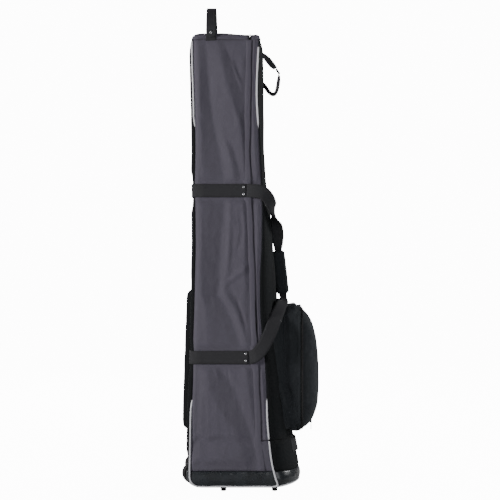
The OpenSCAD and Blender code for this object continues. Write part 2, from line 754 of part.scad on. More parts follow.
// ---- inside straps ------------------------------------------------------------------------------
// Cinch straps for the golf bag, lying folded against the back stay.
module inner_strap(z) {
    color([0.15, 0.15, 0.15]) for (s = [-1, 1])
        translate([back_x(z) + wall + 4.5, s > 0 ? 24 : -104, z]) rotate([0, -1, 0]) cube([2, 80, 25]);
}

module inner_buckles() {
    color([0.05, 0.05, 0.05]) for (z = [300, 800]) translate([back_x(z) + wall + 4.3, -23, z - 4])
        difference() {
            cube([9, 46, 33]);
            translate([2, 4, 5]) cube([5, 50, 23]);
        }
}

side_panel(-1);  // side_panel_right
side_panel(1);  // side_panel_left
back_panel();
top_panel();
kick_panel();
boot();
base_board();
back_stay_board();
hood_padding();
back_rub_pad();
side_piping(-1);  // piping_right
side_piping(1);  // piping_left
feet();
foot_screws();
wheel_housing(-1);  // wheel_housing_right
wheel_housing(1);  // wheel_housing_left
housing_screws();
axle(-1);  // axle_right
axle(1);  // axle_left
axle_nuts();
tyre(-1);  // tyre_right
tyre(1);  // tyre_left
wheel_core(-1);  // wheel_core_right
wheel_core(1);  // wheel_core_left
bearings(-1);  // bearings_right
bearings(1);  // bearings_left
band(strap_hi_z, strap_end_hi);  // strap_upper
strap_lower();
strap_rivets();
handle(-1);  // handle_right
handle(1);  // handle_left
grip_wrap();
top_handle_tabs();
top_handle_strap();
top_handle_rivets();
zip_tape_body();
zip_tape_flap();
on_run(slider_lower_z) slider();  // slider_lower
on_run(slider_upper_z) slider();  // slider_upper
on_run(slider_lower_z) slider_pull(0);  // slider_pull_lower
on_run(slider_upper_z) slider_pull(180);  // slider_pull_upper
flap_front();
flap_side(-1);  // flap_side_right
flap_side(1);  // flap_side_left
flap_top();
flap_piping();
pouch_gusset();
pouch_zip(142.2, pouch_zip_x - gap);  // pouch_zip_body
pouch_zip(pouch_zip_x + gap, 150.8);  // pouch_zip_lid
pouch_lid();
on_pouch() slider();  // pouch_slider
on_pouch() slider_pull(180);  // pouch_pull
pocket_ear();
pocket_pull();
tie_strap();
tie_buckle();
foot_handle();
inner_strap(800);  // inner_strap_upper
inner_strap(300);  // inner_strap_lower
inner_buckles();
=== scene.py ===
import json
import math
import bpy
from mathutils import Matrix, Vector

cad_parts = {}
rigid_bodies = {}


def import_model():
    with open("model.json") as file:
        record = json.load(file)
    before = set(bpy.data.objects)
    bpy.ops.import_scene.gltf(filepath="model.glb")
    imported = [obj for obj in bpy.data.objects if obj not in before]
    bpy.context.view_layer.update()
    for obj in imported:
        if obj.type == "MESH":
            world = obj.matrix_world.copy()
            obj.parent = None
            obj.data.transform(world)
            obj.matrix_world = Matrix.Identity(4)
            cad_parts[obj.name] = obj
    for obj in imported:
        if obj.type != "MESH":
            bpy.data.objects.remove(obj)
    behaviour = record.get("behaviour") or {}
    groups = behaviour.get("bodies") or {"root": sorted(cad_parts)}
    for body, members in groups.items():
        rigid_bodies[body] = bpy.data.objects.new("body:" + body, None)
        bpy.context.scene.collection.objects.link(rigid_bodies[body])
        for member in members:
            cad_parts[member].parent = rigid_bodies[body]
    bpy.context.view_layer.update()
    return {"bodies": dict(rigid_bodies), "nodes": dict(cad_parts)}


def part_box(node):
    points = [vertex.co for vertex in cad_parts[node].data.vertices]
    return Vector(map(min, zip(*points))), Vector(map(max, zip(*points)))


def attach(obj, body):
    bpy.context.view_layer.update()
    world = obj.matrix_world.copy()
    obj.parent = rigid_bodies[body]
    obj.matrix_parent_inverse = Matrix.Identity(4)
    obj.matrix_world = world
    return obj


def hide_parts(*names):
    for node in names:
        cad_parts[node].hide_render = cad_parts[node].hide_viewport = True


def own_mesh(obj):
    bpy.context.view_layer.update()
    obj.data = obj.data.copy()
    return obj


bl_info = {
    "name": "Golf Travel Cover",
    "version": (1, 0, 0),
    "blender": (4, 5, 0),
    "location": "3D View > Sidebar > Travel Cover",
    "description": "Dresses the packed wheeled golf travel cover in cloth, webbing and fittings",
    "category": "Object",
}

import bmesh
import bpy
import numpy as np
from bpy.props import FloatProperty, FloatVectorProperty, PointerProperty
from mathutils import Matrix, Vector, noise

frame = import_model()


# ---- sizes and colours a user may change ------------------------------------------------------
def length(name, default, description, low=0.0):
    """A size in metres."""
    return FloatProperty(name=name, default=default, description=description, min=low, subtype="DISTANCE",
                         unit="LENGTH")


def colour(name, default, description):
    """A colour, in linear values."""
    return FloatVectorProperty(name=name, default=default, description=description, min=0.0, max=1.0, size=3,
                               subtype="COLOR")


class CoverSizes(bpy.types.PropertyGroup):
    """Thicknesses and depths of the soft pieces."""

    wall: length("Wall", 0.004, "Thickness of the padded walls")
    bulge: length("Bulge", 0.0055, "How far the side walls swell between their seams")
    crease: length("Crease", 0.0011, "Depth of the small creases in the cloth")
    piping: length("Piping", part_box("flap_piping")[1].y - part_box("flap_front")[1].y - 0.0003,
                   "Diameter of the piping cord")
    web: length("Webbing", 0.0023, "Thickness of the webbing")
    tooth: length("Zip tooth", 0.003, "Pitch of the main zip's teeth")


class CoverColours(bpy.types.PropertyGroup):
    """Colours of the cloth and fittings."""

    grey: colour("Grey cloth", (0.106, 0.098, 0.127), "Side panels and top")
    black: colour("Black cloth", (0.0090, 0.0100, 0.0112), "Flap, pouch and back")
    boot: colour("Boot", (0.014, 0.017, 0.021), "Coated cloth round the base")
    web: colour("Webbing", (0.0010, 0.0011, 0.0012), "Straps and handles")
    piping: colour("Piping", (1.0, 1.0, 1.0), "Cord in the long seams")
    lining: colour("Lining", (0.06, 0.06, 0.066), "Inside of the walls")
    plastic: colour("Moulded plastic", (0.016, 0.016, 0.017), "Housings, buckles and boards")
    rubber: colour("Rubber", (0.020, 0.020, 0.021), "Feet, tyres and pulls")
    metal: colour("Metal", (0.60, 0.61, 0.63), "Screws, axles and bearings")
    rivet: colour("Rivets", (0.78, 0.78, 0.80), "Nickel-plated rivets")
    core: colour("Wheel core", (0.36, 0.37, 0.39), "Moulded wheel cores")


def sizes():
    """The sizes set in the sidebar."""
    return bpy.context.scene.cover_sizes


def hues():
    """The colours set in the sidebar."""
    return bpy.context.scene.cover_colours


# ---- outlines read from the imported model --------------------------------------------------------
def cut(node, z):
    """Where the node's edges cross the height z, as rows of x and y."""
    if node not in CUT_EDGES:
        mesh = frame["nodes"][node].data
        co = np.array([v.co for v in mesh.vertices], float).reshape(-1, 3)
        ends = np.array([e.vertices for e in mesh.edges], int)
        CUT_EDGES[node] = co[ends[:, 0]], co[ends[:, 1]]
    a, b = CUT_EDGES[node]
    hit = (a[:, 2] - z) * (b[:, 2] - z) < 0
    a, b = a[hit], b[hit]
    t = ((z - a[:, 2]) / (b[:, 2] - a[:, 2]))[:, None]
    return (a + (b - a) * t)[:, :2]


NEAR, FAR = -1, 1
SIDES = ((NEAR, "right"), (FAR, "left"))
CUT_EDGES = {}
LEVELS = np.arange(0.028, 1.2941, 0.0105)
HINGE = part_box("flap_front")[0].z
TOP_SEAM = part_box("side_panel_right")[1].z
BOOT_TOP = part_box("boot")[1].z
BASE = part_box("boot")[0].z
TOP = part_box("top_panel")[1].z
BASE_ROUND = 0.032     # rounding of the boot's lower edge, and how much of it the sides share
SIDE_SHARE = 0.3
CORNER = 0.02          # rounding of the back's upright corners
ZIP_HALF = 0.0042      # half of the gap that the zip closes


def lean(z):
    """How far the boot's lower edge is rounded in at a height."""
    t = max(0.0, min(1.0, (BASE + BASE_ROUND - z) / BASE_ROUND))
    return BASE_ROUND * (1 - math.sqrt(1 - t * t))


def outline_at(z):
    """Back, back seam, front edge of the sides, front and half width at a height."""
    if z < BOOT_TOP + 0.001:
        ring, r = cut("boot", z), lean(z)
        back = ring[:, 0].min() - r
        return (back, back + 0.01, cut("piping_right", z)[:, 0].max() - 0.0025, ring[:, 0].max() + r,
                ring[:, 1].max() + SIDE_SHARE * r)
    if abs(z - HINGE) < 0.003:
        z = HINGE + math.copysign(0.003, z - HINGE)
    front = cut("flap_front" if z > HINGE else "kick_panel", z)
    sides = cut("side_panel_left", z)
    return (cut("back_panel", z)[:, 0].min(), sides[:, 0].min(), front[:, 0].min(), front[:, 0].max(),
            sides[:, 1].max())


def eased(rows):
    """Rows over the levels, smoothed over about 40 mm."""
    padded = np.pad(rows, ((2, 2), (0, 0)), mode="reflect", reflect_type="odd")
    return np.stack([np.convolve(c, [0.12, 0.23, 0.3, 0.23, 0.12], "valid") for c in padded.T])


OUTLINE = dict(zip(("back", "seam", "edge", "front", "half"), eased(np.array([outline_at(z) for z in LEVELS]))))
ZIP_LEVELS = [z for z in LEVELS if z > HINGE + 0.005]
ZIP_MIDDLE = [(cut("side_panel_right", z)[:, 0].max() + cut("flap_side_right", z)[:, 0].min()) / 2
              for z in ZIP_LEVELS]


def slack(name, z):
    """How far the seams wander from their drawn lines where the cloth is slack."""
    if name == "seam":
        return -0.0034 * ease((z - 0.40) / 0.04) - 0.0012 * ease((z - 1.08) / 0.18)
    return -0.0042 * math.exp(-((z - 1.15) / 0.1) ** 2) if name == "edge" else 0.0


def at(name, z):
    """A line of the outline at a height."""
    return float(np.interp(z, LEVELS, OUTLINE[name])) + slack(name, z)


def zip_at(z):
    """The middle of the closed zip."""
    return float(np.interp(z, ZIP_LEVELS, ZIP_MIDDLE))


def side_point(x, z, out=0.0, side=NEAR):
    """A place on a side or on its rounded back corner."""
    w, over = at("half", z), max(0.0, at("back", z) + CORNER - x)
    n = Vector((-over / CORNER, math.sqrt(max(0.0, 1 - (over / CORNER) ** 2)), 0))
    y = w - CORNER + CORNER * n.y if over > 0 else w
    return Vector((x + n.x * out, side * (y + n.y * out), z))


def front_point(turn, z, out=0.0):
    """A place on the rounded front: turn runs from -1 on the right edge to 1 on the left one."""
    a = turn * math.pi / 2
    edge, depth, w = at("edge", z), at("front", z) - at("edge", z), at("half", z)
    n = Vector((math.cos(a) / max(depth, 0.004), math.sin(a) / w, 0)).normalized()
    return Vector((edge + depth * math.cos(a), w * math.sin(a), z)) + n * out


def back_point(s, z, out=0.0):
    """A place on the back, from the right seam at s -1 round both corners to the left seam at 1."""
    r, w, x = CORNER, at("half", z), at("back", z)
    bend = math.acos(1 - min(1.0, (at("seam", z) - x) / r))
    flat, arc = w - r, r * bend
    d = abs(s) * (flat + arc)
    if d <= flat:
        p, n = Vector((x, d, z)), Vector((-1, 0, 0))
    else:
        a = (d - flat) / r
        p, n = Vector((x + r - r * math.cos(a), flat + r * math.sin(a), z)), Vector((-math.cos(a), math.sin(a), 0))
    sign = 1 if s >= 0 else -1
    return Vector((p.x + n.x * out, sign * (p.y + n.y * out), z))


# ---- folds -----------------------------------------------------------------------------------------
def ease(t):
    """0 to 1, with soft ends."""
    t = max(0.0, min(1.0, t))
    return t * t * (3 - 2 * t)


def folds(table, a, z):
    """Height of the folds at a place: each row is a crest line of (across, height), how high it stands and
    how wide its two flanks are, all in millimetres."""
    a, z = a * 1000, z * 1000
    total = 0.0
    for line, height, before, after in table:
        top, bottom = line[0][1], line[-1][1]
        if not bottom - 30 < z < top + 30:
            continue
        crest = np.interp(-z, [-p[1] for p in line], [p[0] for p in line])
        t = (a - crest) / (before if a < crest else after)
        if abs(t) < 1:
            fade = ease((top + 30 - z) / 60) * ease((z - bottom + 30) / 60)
            total += height * fade * (1 - t * t) ** 2
    return total / 1000


def creases(p, amount, stretch=0.35, scale=16.0):
    """Small creases and waves of a slack cloth, longer up and down than across."""
    q = Vector((p.x * scale, p.y * scale, p.z * scale * stretch))
    broad = noise.noise(q) * 1.1
    ridge = 1 - abs(noise.noise(q * 2.3 + Vector((7, 3, 1)))) * 2.2
    return amount * (broad + 0.55 * ridge * abs(ridge))


def pull(d, reach):
    """0 on a seam, rising to 1 at reach from it, as a padded wall does."""
    t = max(0.0, min(1.0, d / reach))
    return math.sqrt(1 - (1 - t) ** 2)


# ---- meshes ------------------------------------------------------------------------------------------
def finish_piece(bm, name, body, material, slot, smooth=True, nodes=()):
    """Makes the bmesh an object that rides on a body."""
    mesh = bpy.data.meshes.new(name)
    bm.to_mesh(mesh)
    bm.free()
    if smooth:
        mesh.shade_smooth()
    piece = bpy.data.objects.new(name, mesh)
    bpy.context.collection.objects.link(piece)
    for m in material if isinstance(material, (list, tuple)) else [material]:
        mesh.materials.append(bpy.data.materials[m])
    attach(piece, body)
    if nodes:
        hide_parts(*nodes)
    return piece


def sheet_mesh(across, along, place, closed=False, inside=None, keep=None):
    """A grid whose points go where place(u, v) puts them, with the cloth's own widths and lengths as its UV map.
    A closed one is joined along u. Its faces look away from inside, or from the bag's middle line. Faces that
    keep(u, v) turns down are left out."""
    bm = bmesh.new()
    uv = bm.loops.layers.uv.new("weave")
    bmesh.ops.create_grid(bm, x_segments=across, y_segments=along, size=0.5)
    if keep:
        centres = [(f, f.calc_center_median()) for f in bm.faces]
        bmesh.ops.delete(bm, geom=[f for f, c in centres if not keep(c.x + 0.5, c.y + 0.5)], context="FACES")
    ruler = [place(i / 12, 0.5) for i in range(13)], [place(0.5, i / 12) for i in range(13)]
    wide, tall = (sum((b - a).length for a, b in zip(r, r[1:])) for r in ruler)
    for f in bm.faces:
        for loop in f.loops:
            loop[uv].uv = (loop.vert.co.x + 0.5) * wide, (loop.vert.co.y + 0.5) * tall
    for v in bm.verts:
        v.co = place(v.co.x + 0.5, v.co.y + 0.5)
    if closed:
        bmesh.ops.remove_doubles(bm, verts=bm.verts, dist=0.00008)
    facing = 0.0
    bm.normal_update()
    for f in bm.faces:
        c = f.calc_center_median()
        facing += f.normal.dot(c - (inside or Vector((-0.06, 0, c.z)))) * f.calc_area()
    if facing < 0:
        bmesh.ops.reverse_faces(bm, faces=bm.faces)
    return bm


def thicken(piece, thickness, offset=-1.0, lined=False):
    """Gives a sheet its thickness; a lined one shows its second material inside."""
    solid = piece.modifiers.new("Thickness", "SOLIDIFY")
    solid.thickness = thickness
    solid.offset = offset
    if lined:
        solid.material_offset = 1
    return piece


def mesh_thick(piece, thickness, offset=0.0):
    """Gives a sheet its thickness in its own mesh, for a piece that is squashed or shaped later."""
    thicken(piece, thickness, offset)
    graph = bpy.context.evaluated_depsgraph_get()
    made = bpy.data.meshes.new_from_object(piece.evaluated_get(graph))
    piece.modifiers.clear()
    piece.data = made
    return piece


def smooth_line(points, step):
    """A smooth line through the points, with even steps."""
    p = [Vector(q) for q in points]
    dense = []
    for i in range(len(p) - 1):
        a, b, c, d = p[max(i - 1, 0)], p[i], p[i + 1], p[min(i + 2, len(p) - 1)]
        for k in range(12):
            t = k / 12
            dense.append(0.5 * ((2 * b) + (c - a) * t + (2 * a - 5 * b + 4 * c - d) * t * t
                                + (3 * b - a - 3 * c + d) * t ** 3))
    dense.append(p[-1])
    run = np.concatenate([[0], np.cumsum([(b - a).length for a, b in zip(dense, dense[1:])])])
    n = max(2, int(round(run[-1] / step)) + 1)
    co = np.array(dense)
    return [Vector([np.interp(s, run, co[:, k]) for k in range(3)]) for s in np.linspace(0, run[-1], n)]


def tube(points, radius, step, sides=10):
    """A round cord along a line of points."""
    line = smooth_line(points, step)
    n = len(line)
    frames, across = [], Vector((0, 0, 1))
    for i in range(n):
        t = (line[min(i + 1, n - 1)] - line[max(i - 1, 0)]).normalized()
        if i == 0:
            across = t.orthogonal()
        across = (across - across.dot(t) * t).normalized()
        frames.append((t, across.copy(), t.cross(across)))

    def place(u, v):
        i = min(int(round(v * (n - 1))), n - 1)
        _, a, b = frames[i]
        w = 2 * math.pi * u
        return line[i] + (a * math.cos(w) + b * math.sin(w)) * radius

    bm = sheet_mesh(sides, n - 1, place, closed=True)
    bmesh.ops.holes_fill(bm, edges=bm.edges, sides=sides + 2)
    bmesh.ops.recalc_face_normals(bm, faces=bm.faces)
    return bm


def ribbon(rows, across=6, step=0.005, lift=None):
    """A flat band through rows of (point, direction across, width) in metres."""
    line = smooth_line([r[0] for r in rows], step)
    n = len(line)
    marks = np.concatenate([[0], np.cumsum([(Vector(b[0]) - Vector(a[0])).length for a, b in zip(rows, rows[1:])])])
    marks = marks / marks[-1]
    widths = [r[2] for r in rows]
    dirs = np.array([Vector(r[1]).normalized() for r in rows])

    def place(u, v):
        i = min(int(round(v * (n - 1))), n - 1)
        s = i / (n - 1)
        t = (line[min(i + 1, n - 1)] - line[max(i - 1, 0)]).normalized()
        d = Vector([np.interp(s, marks, dirs[:, k]) for k in range(3)])
        d = (d - d.dot(t) * t).normalized()
        p = line[i] + d * (u - 0.5) * float(np.interp(s, marks, widths))
        return p + t.cross(d) * (lift(u, s) if lift else 0.0)

    return sheet_mesh(across, n - 1, place)


MERGE = 0.00002        # corners of a CAD mesh closer than this are one corner


def copy_of(node):
    """A merged copy of a CAD node's mesh, as a bmesh."""
    bm = bmesh.new()
    bm.from_mesh(frame["nodes"][node].data)
    bmesh.ops.remove_doubles(bm, verts=bm.verts, dist=MERGE)
    bmesh.ops.dissolve_limit(bm, angle_limit=math.radians(1.5), verts=bm.verts, edges=bm.edges)
    bm.normal_update()
    return bm


SHARP_EDGE, CREASED_EDGE = math.radians(32), math.radians(38)


def softened(node, material, slot, width, segments=2):
    """A moulded or cast piece: the CAD node with its sharp edges rounded."""
    bm = copy_of(node)
    sharp = [e for e in bm.edges if e.is_manifold and e.calc_face_angle(0.0) > SHARP_EDGE]
    bmesh.ops.bevel(bm, geom=sharp, offset=width, offset_type="OFFSET", affect="EDGES", segments=segments,
                    profile=0.5, material=-1, clamp_overlap=True)
    piece = finish_piece(bm, node + "_made", BODY_OF[node], material, slot, nodes=(node,))
    piece.data.set_sharp_from_angle(angle=CREASED_EDGE)
    return piece


def wear(node, material):
    """Gives a CAD node that keeps its shape a finish."""
    mesh = frame["nodes"][node].data
    for k in range(len(mesh.materials)):
        mesh.materials[k] = bpy.data.materials[material]


BODY_OF = {n: b for n, o in frame["nodes"].items() for b, e in frame["bodies"].items() if o.parent == e}


CLOTH_STIFFNESS = 12.0


def settle(piece, sewn, pressure, frames, cap, shrink=0.0):
    """Lets a padded piece swell and crease as sewn cloth. sewn(point) is 1 where it can't move."""
    start = np.array([v.co for v in piece.data.vertices], float).reshape(-1, 3)
    group = piece.vertex_groups.new(name="sewn")
    for i, p in enumerate(start):
        group.add([i], sewn(Vector(p)), "REPLACE")
    finishing = list(piece.modifiers)
    for modifier in finishing:
        modifier.show_viewport = False
    cloth = piece.modifiers.new("Cloth", "CLOTH")
    s = cloth.settings
    s.quality = 6
    s.mass = 0.25
    s.tension_stiffness = s.compression_stiffness = CLOTH_STIFFNESS
    s.shear_stiffness = CLOTH_STIFFNESS * 0.6
    s.bending_stiffness = 0.6
    s.use_pressure = True
    s.uniform_pressure_force = pressure
    s.vertex_group_mass = "sewn"
    s.shrink_min = shrink
    s.effector_weights.gravity = 0.0
    cloth.point_cache.frame_start, cloth.point_cache.frame_end = 1, frames
    scene = bpy.context.scene
    for f in range(1, frames + 1):
        scene.frame_set(f)
    graph = bpy.context.evaluated_depsgraph_get()
    moved = np.array([v.co for v in piece.evaluated_get(graph).data.vertices], float).reshape(-1, 3) - start
    piece.modifiers.remove(cloth)
    piece.vertex_groups.remove(group)
    for modifier in finishing:
        modifier.show_viewport = True
    far = np.linalg.norm(moved, axis=1)[:, None]
    moved *= np.minimum(1.0, cap / np.maximum(far, 1e-9))
    piece.data.vertices.foreach_set("co", (start + moved).astype(np.float32).ravel())
    piece.data.update()
    scene.frame_set(1)
    return piece


# ---- finishes ------------------------------------------------------------------------------------------
class Finish:
    """A node material. Each method adds a node, and takes numbers or other nodes' outputs."""

    def __init__(self, name, base, roughness, **socket):
        self.material = bpy.data.materials.new(name)
        self.material.use_nodes = True
        self.tree = self.material.node_tree
        self.shader = next(n for n in self.tree.nodes if n.type == "BSDF_PRINCIPLED")
        self.put(self.shader.inputs["Base Color"], (*base, 1) if isinstance(base, (tuple, list)) else base)
        self.put(self.shader.inputs["Roughness"], roughness)
        for key, value in socket.items():
            self.shader.inputs[key.replace("_", " ")].default_value = value

    def put(self, socket, value):
        if isinstance(value, bpy.types.NodeSocket):
            self.tree.links.new(value, socket)
        else:
            socket.default_value = value

    def add(self, kind, output=0, inputs=(), **props):
        node = self.tree.nodes.new("ShaderNode" + kind)
        for key, value in props.items():
            setattr(node, key, value)
        for key, value in dict(inputs).items():
            self.put(node.inputs[key], value)
        return node.outputs[output]

    def math(self, operation, a, b=0.0):
        return self.add("Math", inputs={0: a, 1: b}, operation=operation)

    def place(self, by="Object", scale=(1, 1, 1)):
        """Object coordinates, or the cloth's own map, scaled."""
        if by == "Object":
            where = self.add("TexCoord", "Object")
        else:
            where = self.add("UVMap", uv_map="weave")
        return self.add("Mapping", inputs={"Vector": where, "Scale": scale})

    def noise(self, where, scale, detail=3.0, rough=0.55):
        return self.add("TexNoise", "Fac", {"Vector": where, "Scale": scale, "Detail": detail, "Roughness": rough})

    def span(self, value, low, high, to_low=0.0, to_high=1.0):
        return self.add("MapRange", inputs={"Value": value, "From Min": low, "From Max": high, "To Min": to_low,
                                            "To Max": to_high})

    def blend(self, factor, a, b):
        node = self.tree.nodes.new("ShaderNodeMix")
        node.data_type = "RGBA"
        for key, value in ((0, factor), (6, a), (7, b)):
            self.put(node.inputs[key], (*value, 1) if isinstance(value, (tuple, list)) else value)
        return node.outputs[2]

    def bump(self, *layers):
        """Each layer is a height and its depth in metres."""
        normal = None
        for height, depth in layers:
            inputs = {"Height": height, "Strength": 1.0, "Distance": depth}
            if normal is not None:
                inputs["Normal"] = normal
            normal = self.add("Bump", inputs=inputs)
        self.tree.links.new(normal, self.shader.inputs["Normal"])

    def colour(self, value):
        self.put(self.shader.inputs["Base Color"], value)

    def rough(self, value):
        self.put(self.shader.inputs["Roughness"], value)


def shade_of(c, k):
    """A colour made k times as light."""
    return tuple(min(1.0, x * k) for x in c)


def woven(name, base, pitch=0.00075, contrast=0.16, sheen=0.12, sheen_tint=(0.9, 0.88, 1.0, 1), specular=0.14):
    """Plain-woven polyester: crossing threads, slubs, uneven dye and rubbed high spots."""
    f = Finish(name, base, 0.8, Sheen_Weight=sheen, Sheen_Roughness=0.45, Sheen_Tint=sheen_tint,
               Specular_IOR_Level=specular)
    cloth = f.place("UV")
    where = f.place()
    threads = f.add("Mapping", inputs={"Vector": cloth, "Scale": (1 / pitch, 1 / pitch, 1)})
    parts = f.tree.nodes.new("ShaderNodeSeparateXYZ")
    f.put(parts.inputs[0], threads)
    warp = f.math("ABSOLUTE", f.math("SINE", f.math("MULTIPLY", parts.outputs[0], math.pi)))
    weft = f.math("ABSOLUTE", f.math("SINE", f.math("MULTIPLY", parts.outputs[1], math.pi)))
    over = f.add("TexChecker", "Fac", {"Vector": threads, "Scale": 1.0})
    weave = f.add("Mix", inputs={0: over, 2: warp, 3: weft})
    slub = f.noise(f.add("Mapping", inputs={"Vector": cloth, "Scale": (900, 60, 1)}), 1.0, 2.0)
    cloudy = f.noise(where, 5.0, 5.0, 0.6)
    fine = f.noise(where, 240.0, 4.0, 0.7)
    dark, light = shade_of(base, 1 - contrast), shade_of(base, 1 + contrast)
    tone = f.blend(f.span(cloudy, 0.3, 0.7), dark, light)
    tone = f.blend(f.math("MULTIPLY", f.span(fine, 0.35, 0.7), 0.35), tone, shade_of(base, 1.45))
    tone = f.blend(f.math("MULTIPLY", f.span(slub, 0.4, 0.75), 0.25), tone, shade_of(base, 0.7))
    tone = f.blend(0.3, tone, f.blend(weave, shade_of(base, 0.62), shade_of(base, 1.3)))
    f.colour(tone)
    f.rough(f.span(fine, 0.3, 0.7, 0.66, 0.86))
    f.bump((weave, 0.00012), (fine, 0.0002), (f.noise(where, 38.0, 3.0), 0.0006))
    return f


def make_finishes():
    """All the finishes, named for what they cover."""
    h = hues()
    grey, black = tuple(h.grey), tuple(h.black)
    woven("cloth_grey", grey, contrast=0.07, specular=0.3)
    woven("cloth_black", black, contrast=0.12, sheen=0.025, sheen_tint=(0.9, 0.95, 1.0, 1))
    # painted light: the black cloth made 3.6 times as light, standing in for light where the body shades the pouch and
    # the grip wrap
    woven("cloth_pouch", shade_of(black, 3.6), contrast=0.14, sheen=0.09, sheen_tint=(0.9, 0.95, 1.0, 1))
    woven("cloth_lining", tuple(h.lining), pitch=0.0011, contrast=0.1, sheen=0.05)
    coated_finish(tuple(h.boot))
    webbing_finish(tuple(h.web))
    piping_finish(tuple(h.piping))
    moulded_finishes(h)
    metal_finishes(h)


def coated_finish(boot):
    """Glossy coated cloth with a fine grain and soft dents."""
    f = Finish("coated_boot", boot, 0.3, Coat_Weight=0.35, Coat_Roughness=0.16, Specular_IOR_Level=0.55)
    where = f.place()
    grain = f.add("TexVoronoi", "Distance", {"Vector": where, "Scale": 520.0}, feature="SMOOTH_F1")
    worn = f.noise(where, 26.0, 5.0, 0.65)
    f.colour(f.blend(f.span(worn, 0.35, 0.75), shade_of(boot, 0.8), shade_of(boot, 1.9)))
    f.rough(f.span(f.noise(where, 60.0, 4.0), 0.3, 0.7, 0.22, 0.42))
    f.bump((grain, 0.0002), (f.noise(f.place("Object", (1, 1, 0.4)), 34.0, 3.0), 0.0022))


def webbing_finish(web):
    """Ribbed webbing with slanting threads and a little fuzz."""
    f = Finish("webbing", web, 0.85, Specular_IOR_Level=0.03)
    cloth = f.place("UV")
    parts = f.tree.nodes.new("ShaderNodeSeparateXYZ")
    f.put(parts.inputs[0], cloth)
    rib = f.math("PINGPONG", parts.outputs[0], 0.0019)
    herring = f.math("SINE", f.math("MULTIPLY", f.math("ADD", f.math("MULTIPLY", rib, 1.5), parts.outputs[1]), 3300.0))
    ribs = f.span(rib, 0.0, 0.0019)
    fuzz = f.noise(f.place(), 300.0, 3.0)
    tone = f.blend(ribs, shade_of(web, 0.65), shade_of(web, 1.5))
    tone = f.blend(f.math("MULTIPLY", f.span(herring, -1.0, 1.0), 0.3), tone, shade_of(web, 2.6))
    f.colour(f.blend(f.math("MULTIPLY", f.span(fuzz, 0.4, 0.8), 0.3), tone, shade_of(web, 2.2)))
    f.rough(f.span(fuzz, 0.3, 0.7, 0.6, 0.82))
    f.bump((ribs, 0.0003), (herring, 0.00015), (fuzz, 0.0002))


def piping_finish(piping):
    """Glossy white cord with a little dirt."""
    f = Finish("piping_white", piping, 0.34, Coat_Weight=0.12, Coat_Roughness=0.3, Sheen_Weight=0.2)
    where = f.place()
    dirt = f.noise(where, 34.0, 6.0, 0.7)
    f.colour(f.blend(f.math("MULTIPLY", f.span(dirt, 0.5, 0.8), 0.2), piping, (0.5, 0.49, 0.5)))
    f.rough(f.span(dirt, 0.3, 0.8, 0.3, 0.5))
    f.bump((f.noise(where, 420.0, 2.0), 0.00012),)


def moulded_finishes(h):
    """Moulded plastics and rubbers, scuffed along their length."""
    for name, base, rough, grain, depth, extra in (
            ("moulded_black", h.plastic, 0.5, 900.0, 0.00008, {}),
            ("board_black", h.plastic, 0.62, 260.0, 0.0002, {}),
            ("buckle_black", h.plastic, 0.36, 700.0, 0.00005, {}),
            ("rubber_black", h.rubber, 0.72, 420.0, 0.00012, {"Specular_IOR_Level": 0.35}),
            ("tyre_rubber", h.rubber, 0.56, 150.0, 0.0002, {"Specular_IOR_Level": 0.4}),
            ("core_plastic", h.core, 0.45, 600.0, 0.00008, {}),
            ("zip_coil", h.plastic, 0.42, 500.0, 0.00005, {}),
            ("zip_tape", h.plastic, 0.8, 1500.0, 0.0001, {"Sheen_Weight": 0.05})):
        f = Finish(name, tuple(base), rough, **extra)
        where = f.place()
        cloud, fine = f.noise(where, 22.0, 5.0, 0.6), f.noise(where, grain, 2.0)
        scuff = f.noise(f.place("Object", (1, 1, 6)), 70.0, 6.0, 0.75)
        tone = f.blend(f.span(cloud, 0.3, 0.7), shade_of(base, 0.82), shade_of(base, 1.25))
        f.colour(f.blend(f.math("MULTIPLY", f.span(scuff, 0.62, 0.8), 0.35), tone,
                         tuple(min(1, x * 2.2 + 0.02) for x in base)))
        f.rough(f.span(scuff, 0.35, 0.75, rough - 0.08, rough + 0.14))
        f.bump((fine, depth), (cloud, depth * 2))


def metal_finishes(h):
    """Brushed and spotted metals."""
    for name, base, rough in (("zinc_steel", h.metal, 0.34), ("nickel", h.rivet, 0.2),
                              ("gunmetal", (0.07, 0.07, 0.075), 0.36)):
        f = Finish(name, tuple(base), rough, Metallic=1.0)
        where = f.place()
        brushed = f.noise(f.place("Object", (1, 1, 18)), 160.0, 3.0)
        spots = f.noise(where, 90.0, 6.0, 0.7)
        f.colour(f.blend(f.span(spots, 0.35, 0.8), shade_of(base, 1.05), shade_of(base, 0.72)))
        f.rough(f.span(brushed, 0.3, 0.7, rough - 0.08, rough + 0.14))
        f.bump((brushed, 0.00003), (spots, 0.00006))


# ---- fabric walls -------------------------------------------------------------------------------------------
STRAPS = tuple((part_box(n)[0].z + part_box(n)[1].z) / 2 for n in ("strap_upper", "strap_lower"))
STRAP_HALF = (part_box("strap_upper")[1].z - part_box("strap_upper")[0].z) / 2
POUCH_LOW, POUCH_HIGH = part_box("pouch_gusset")

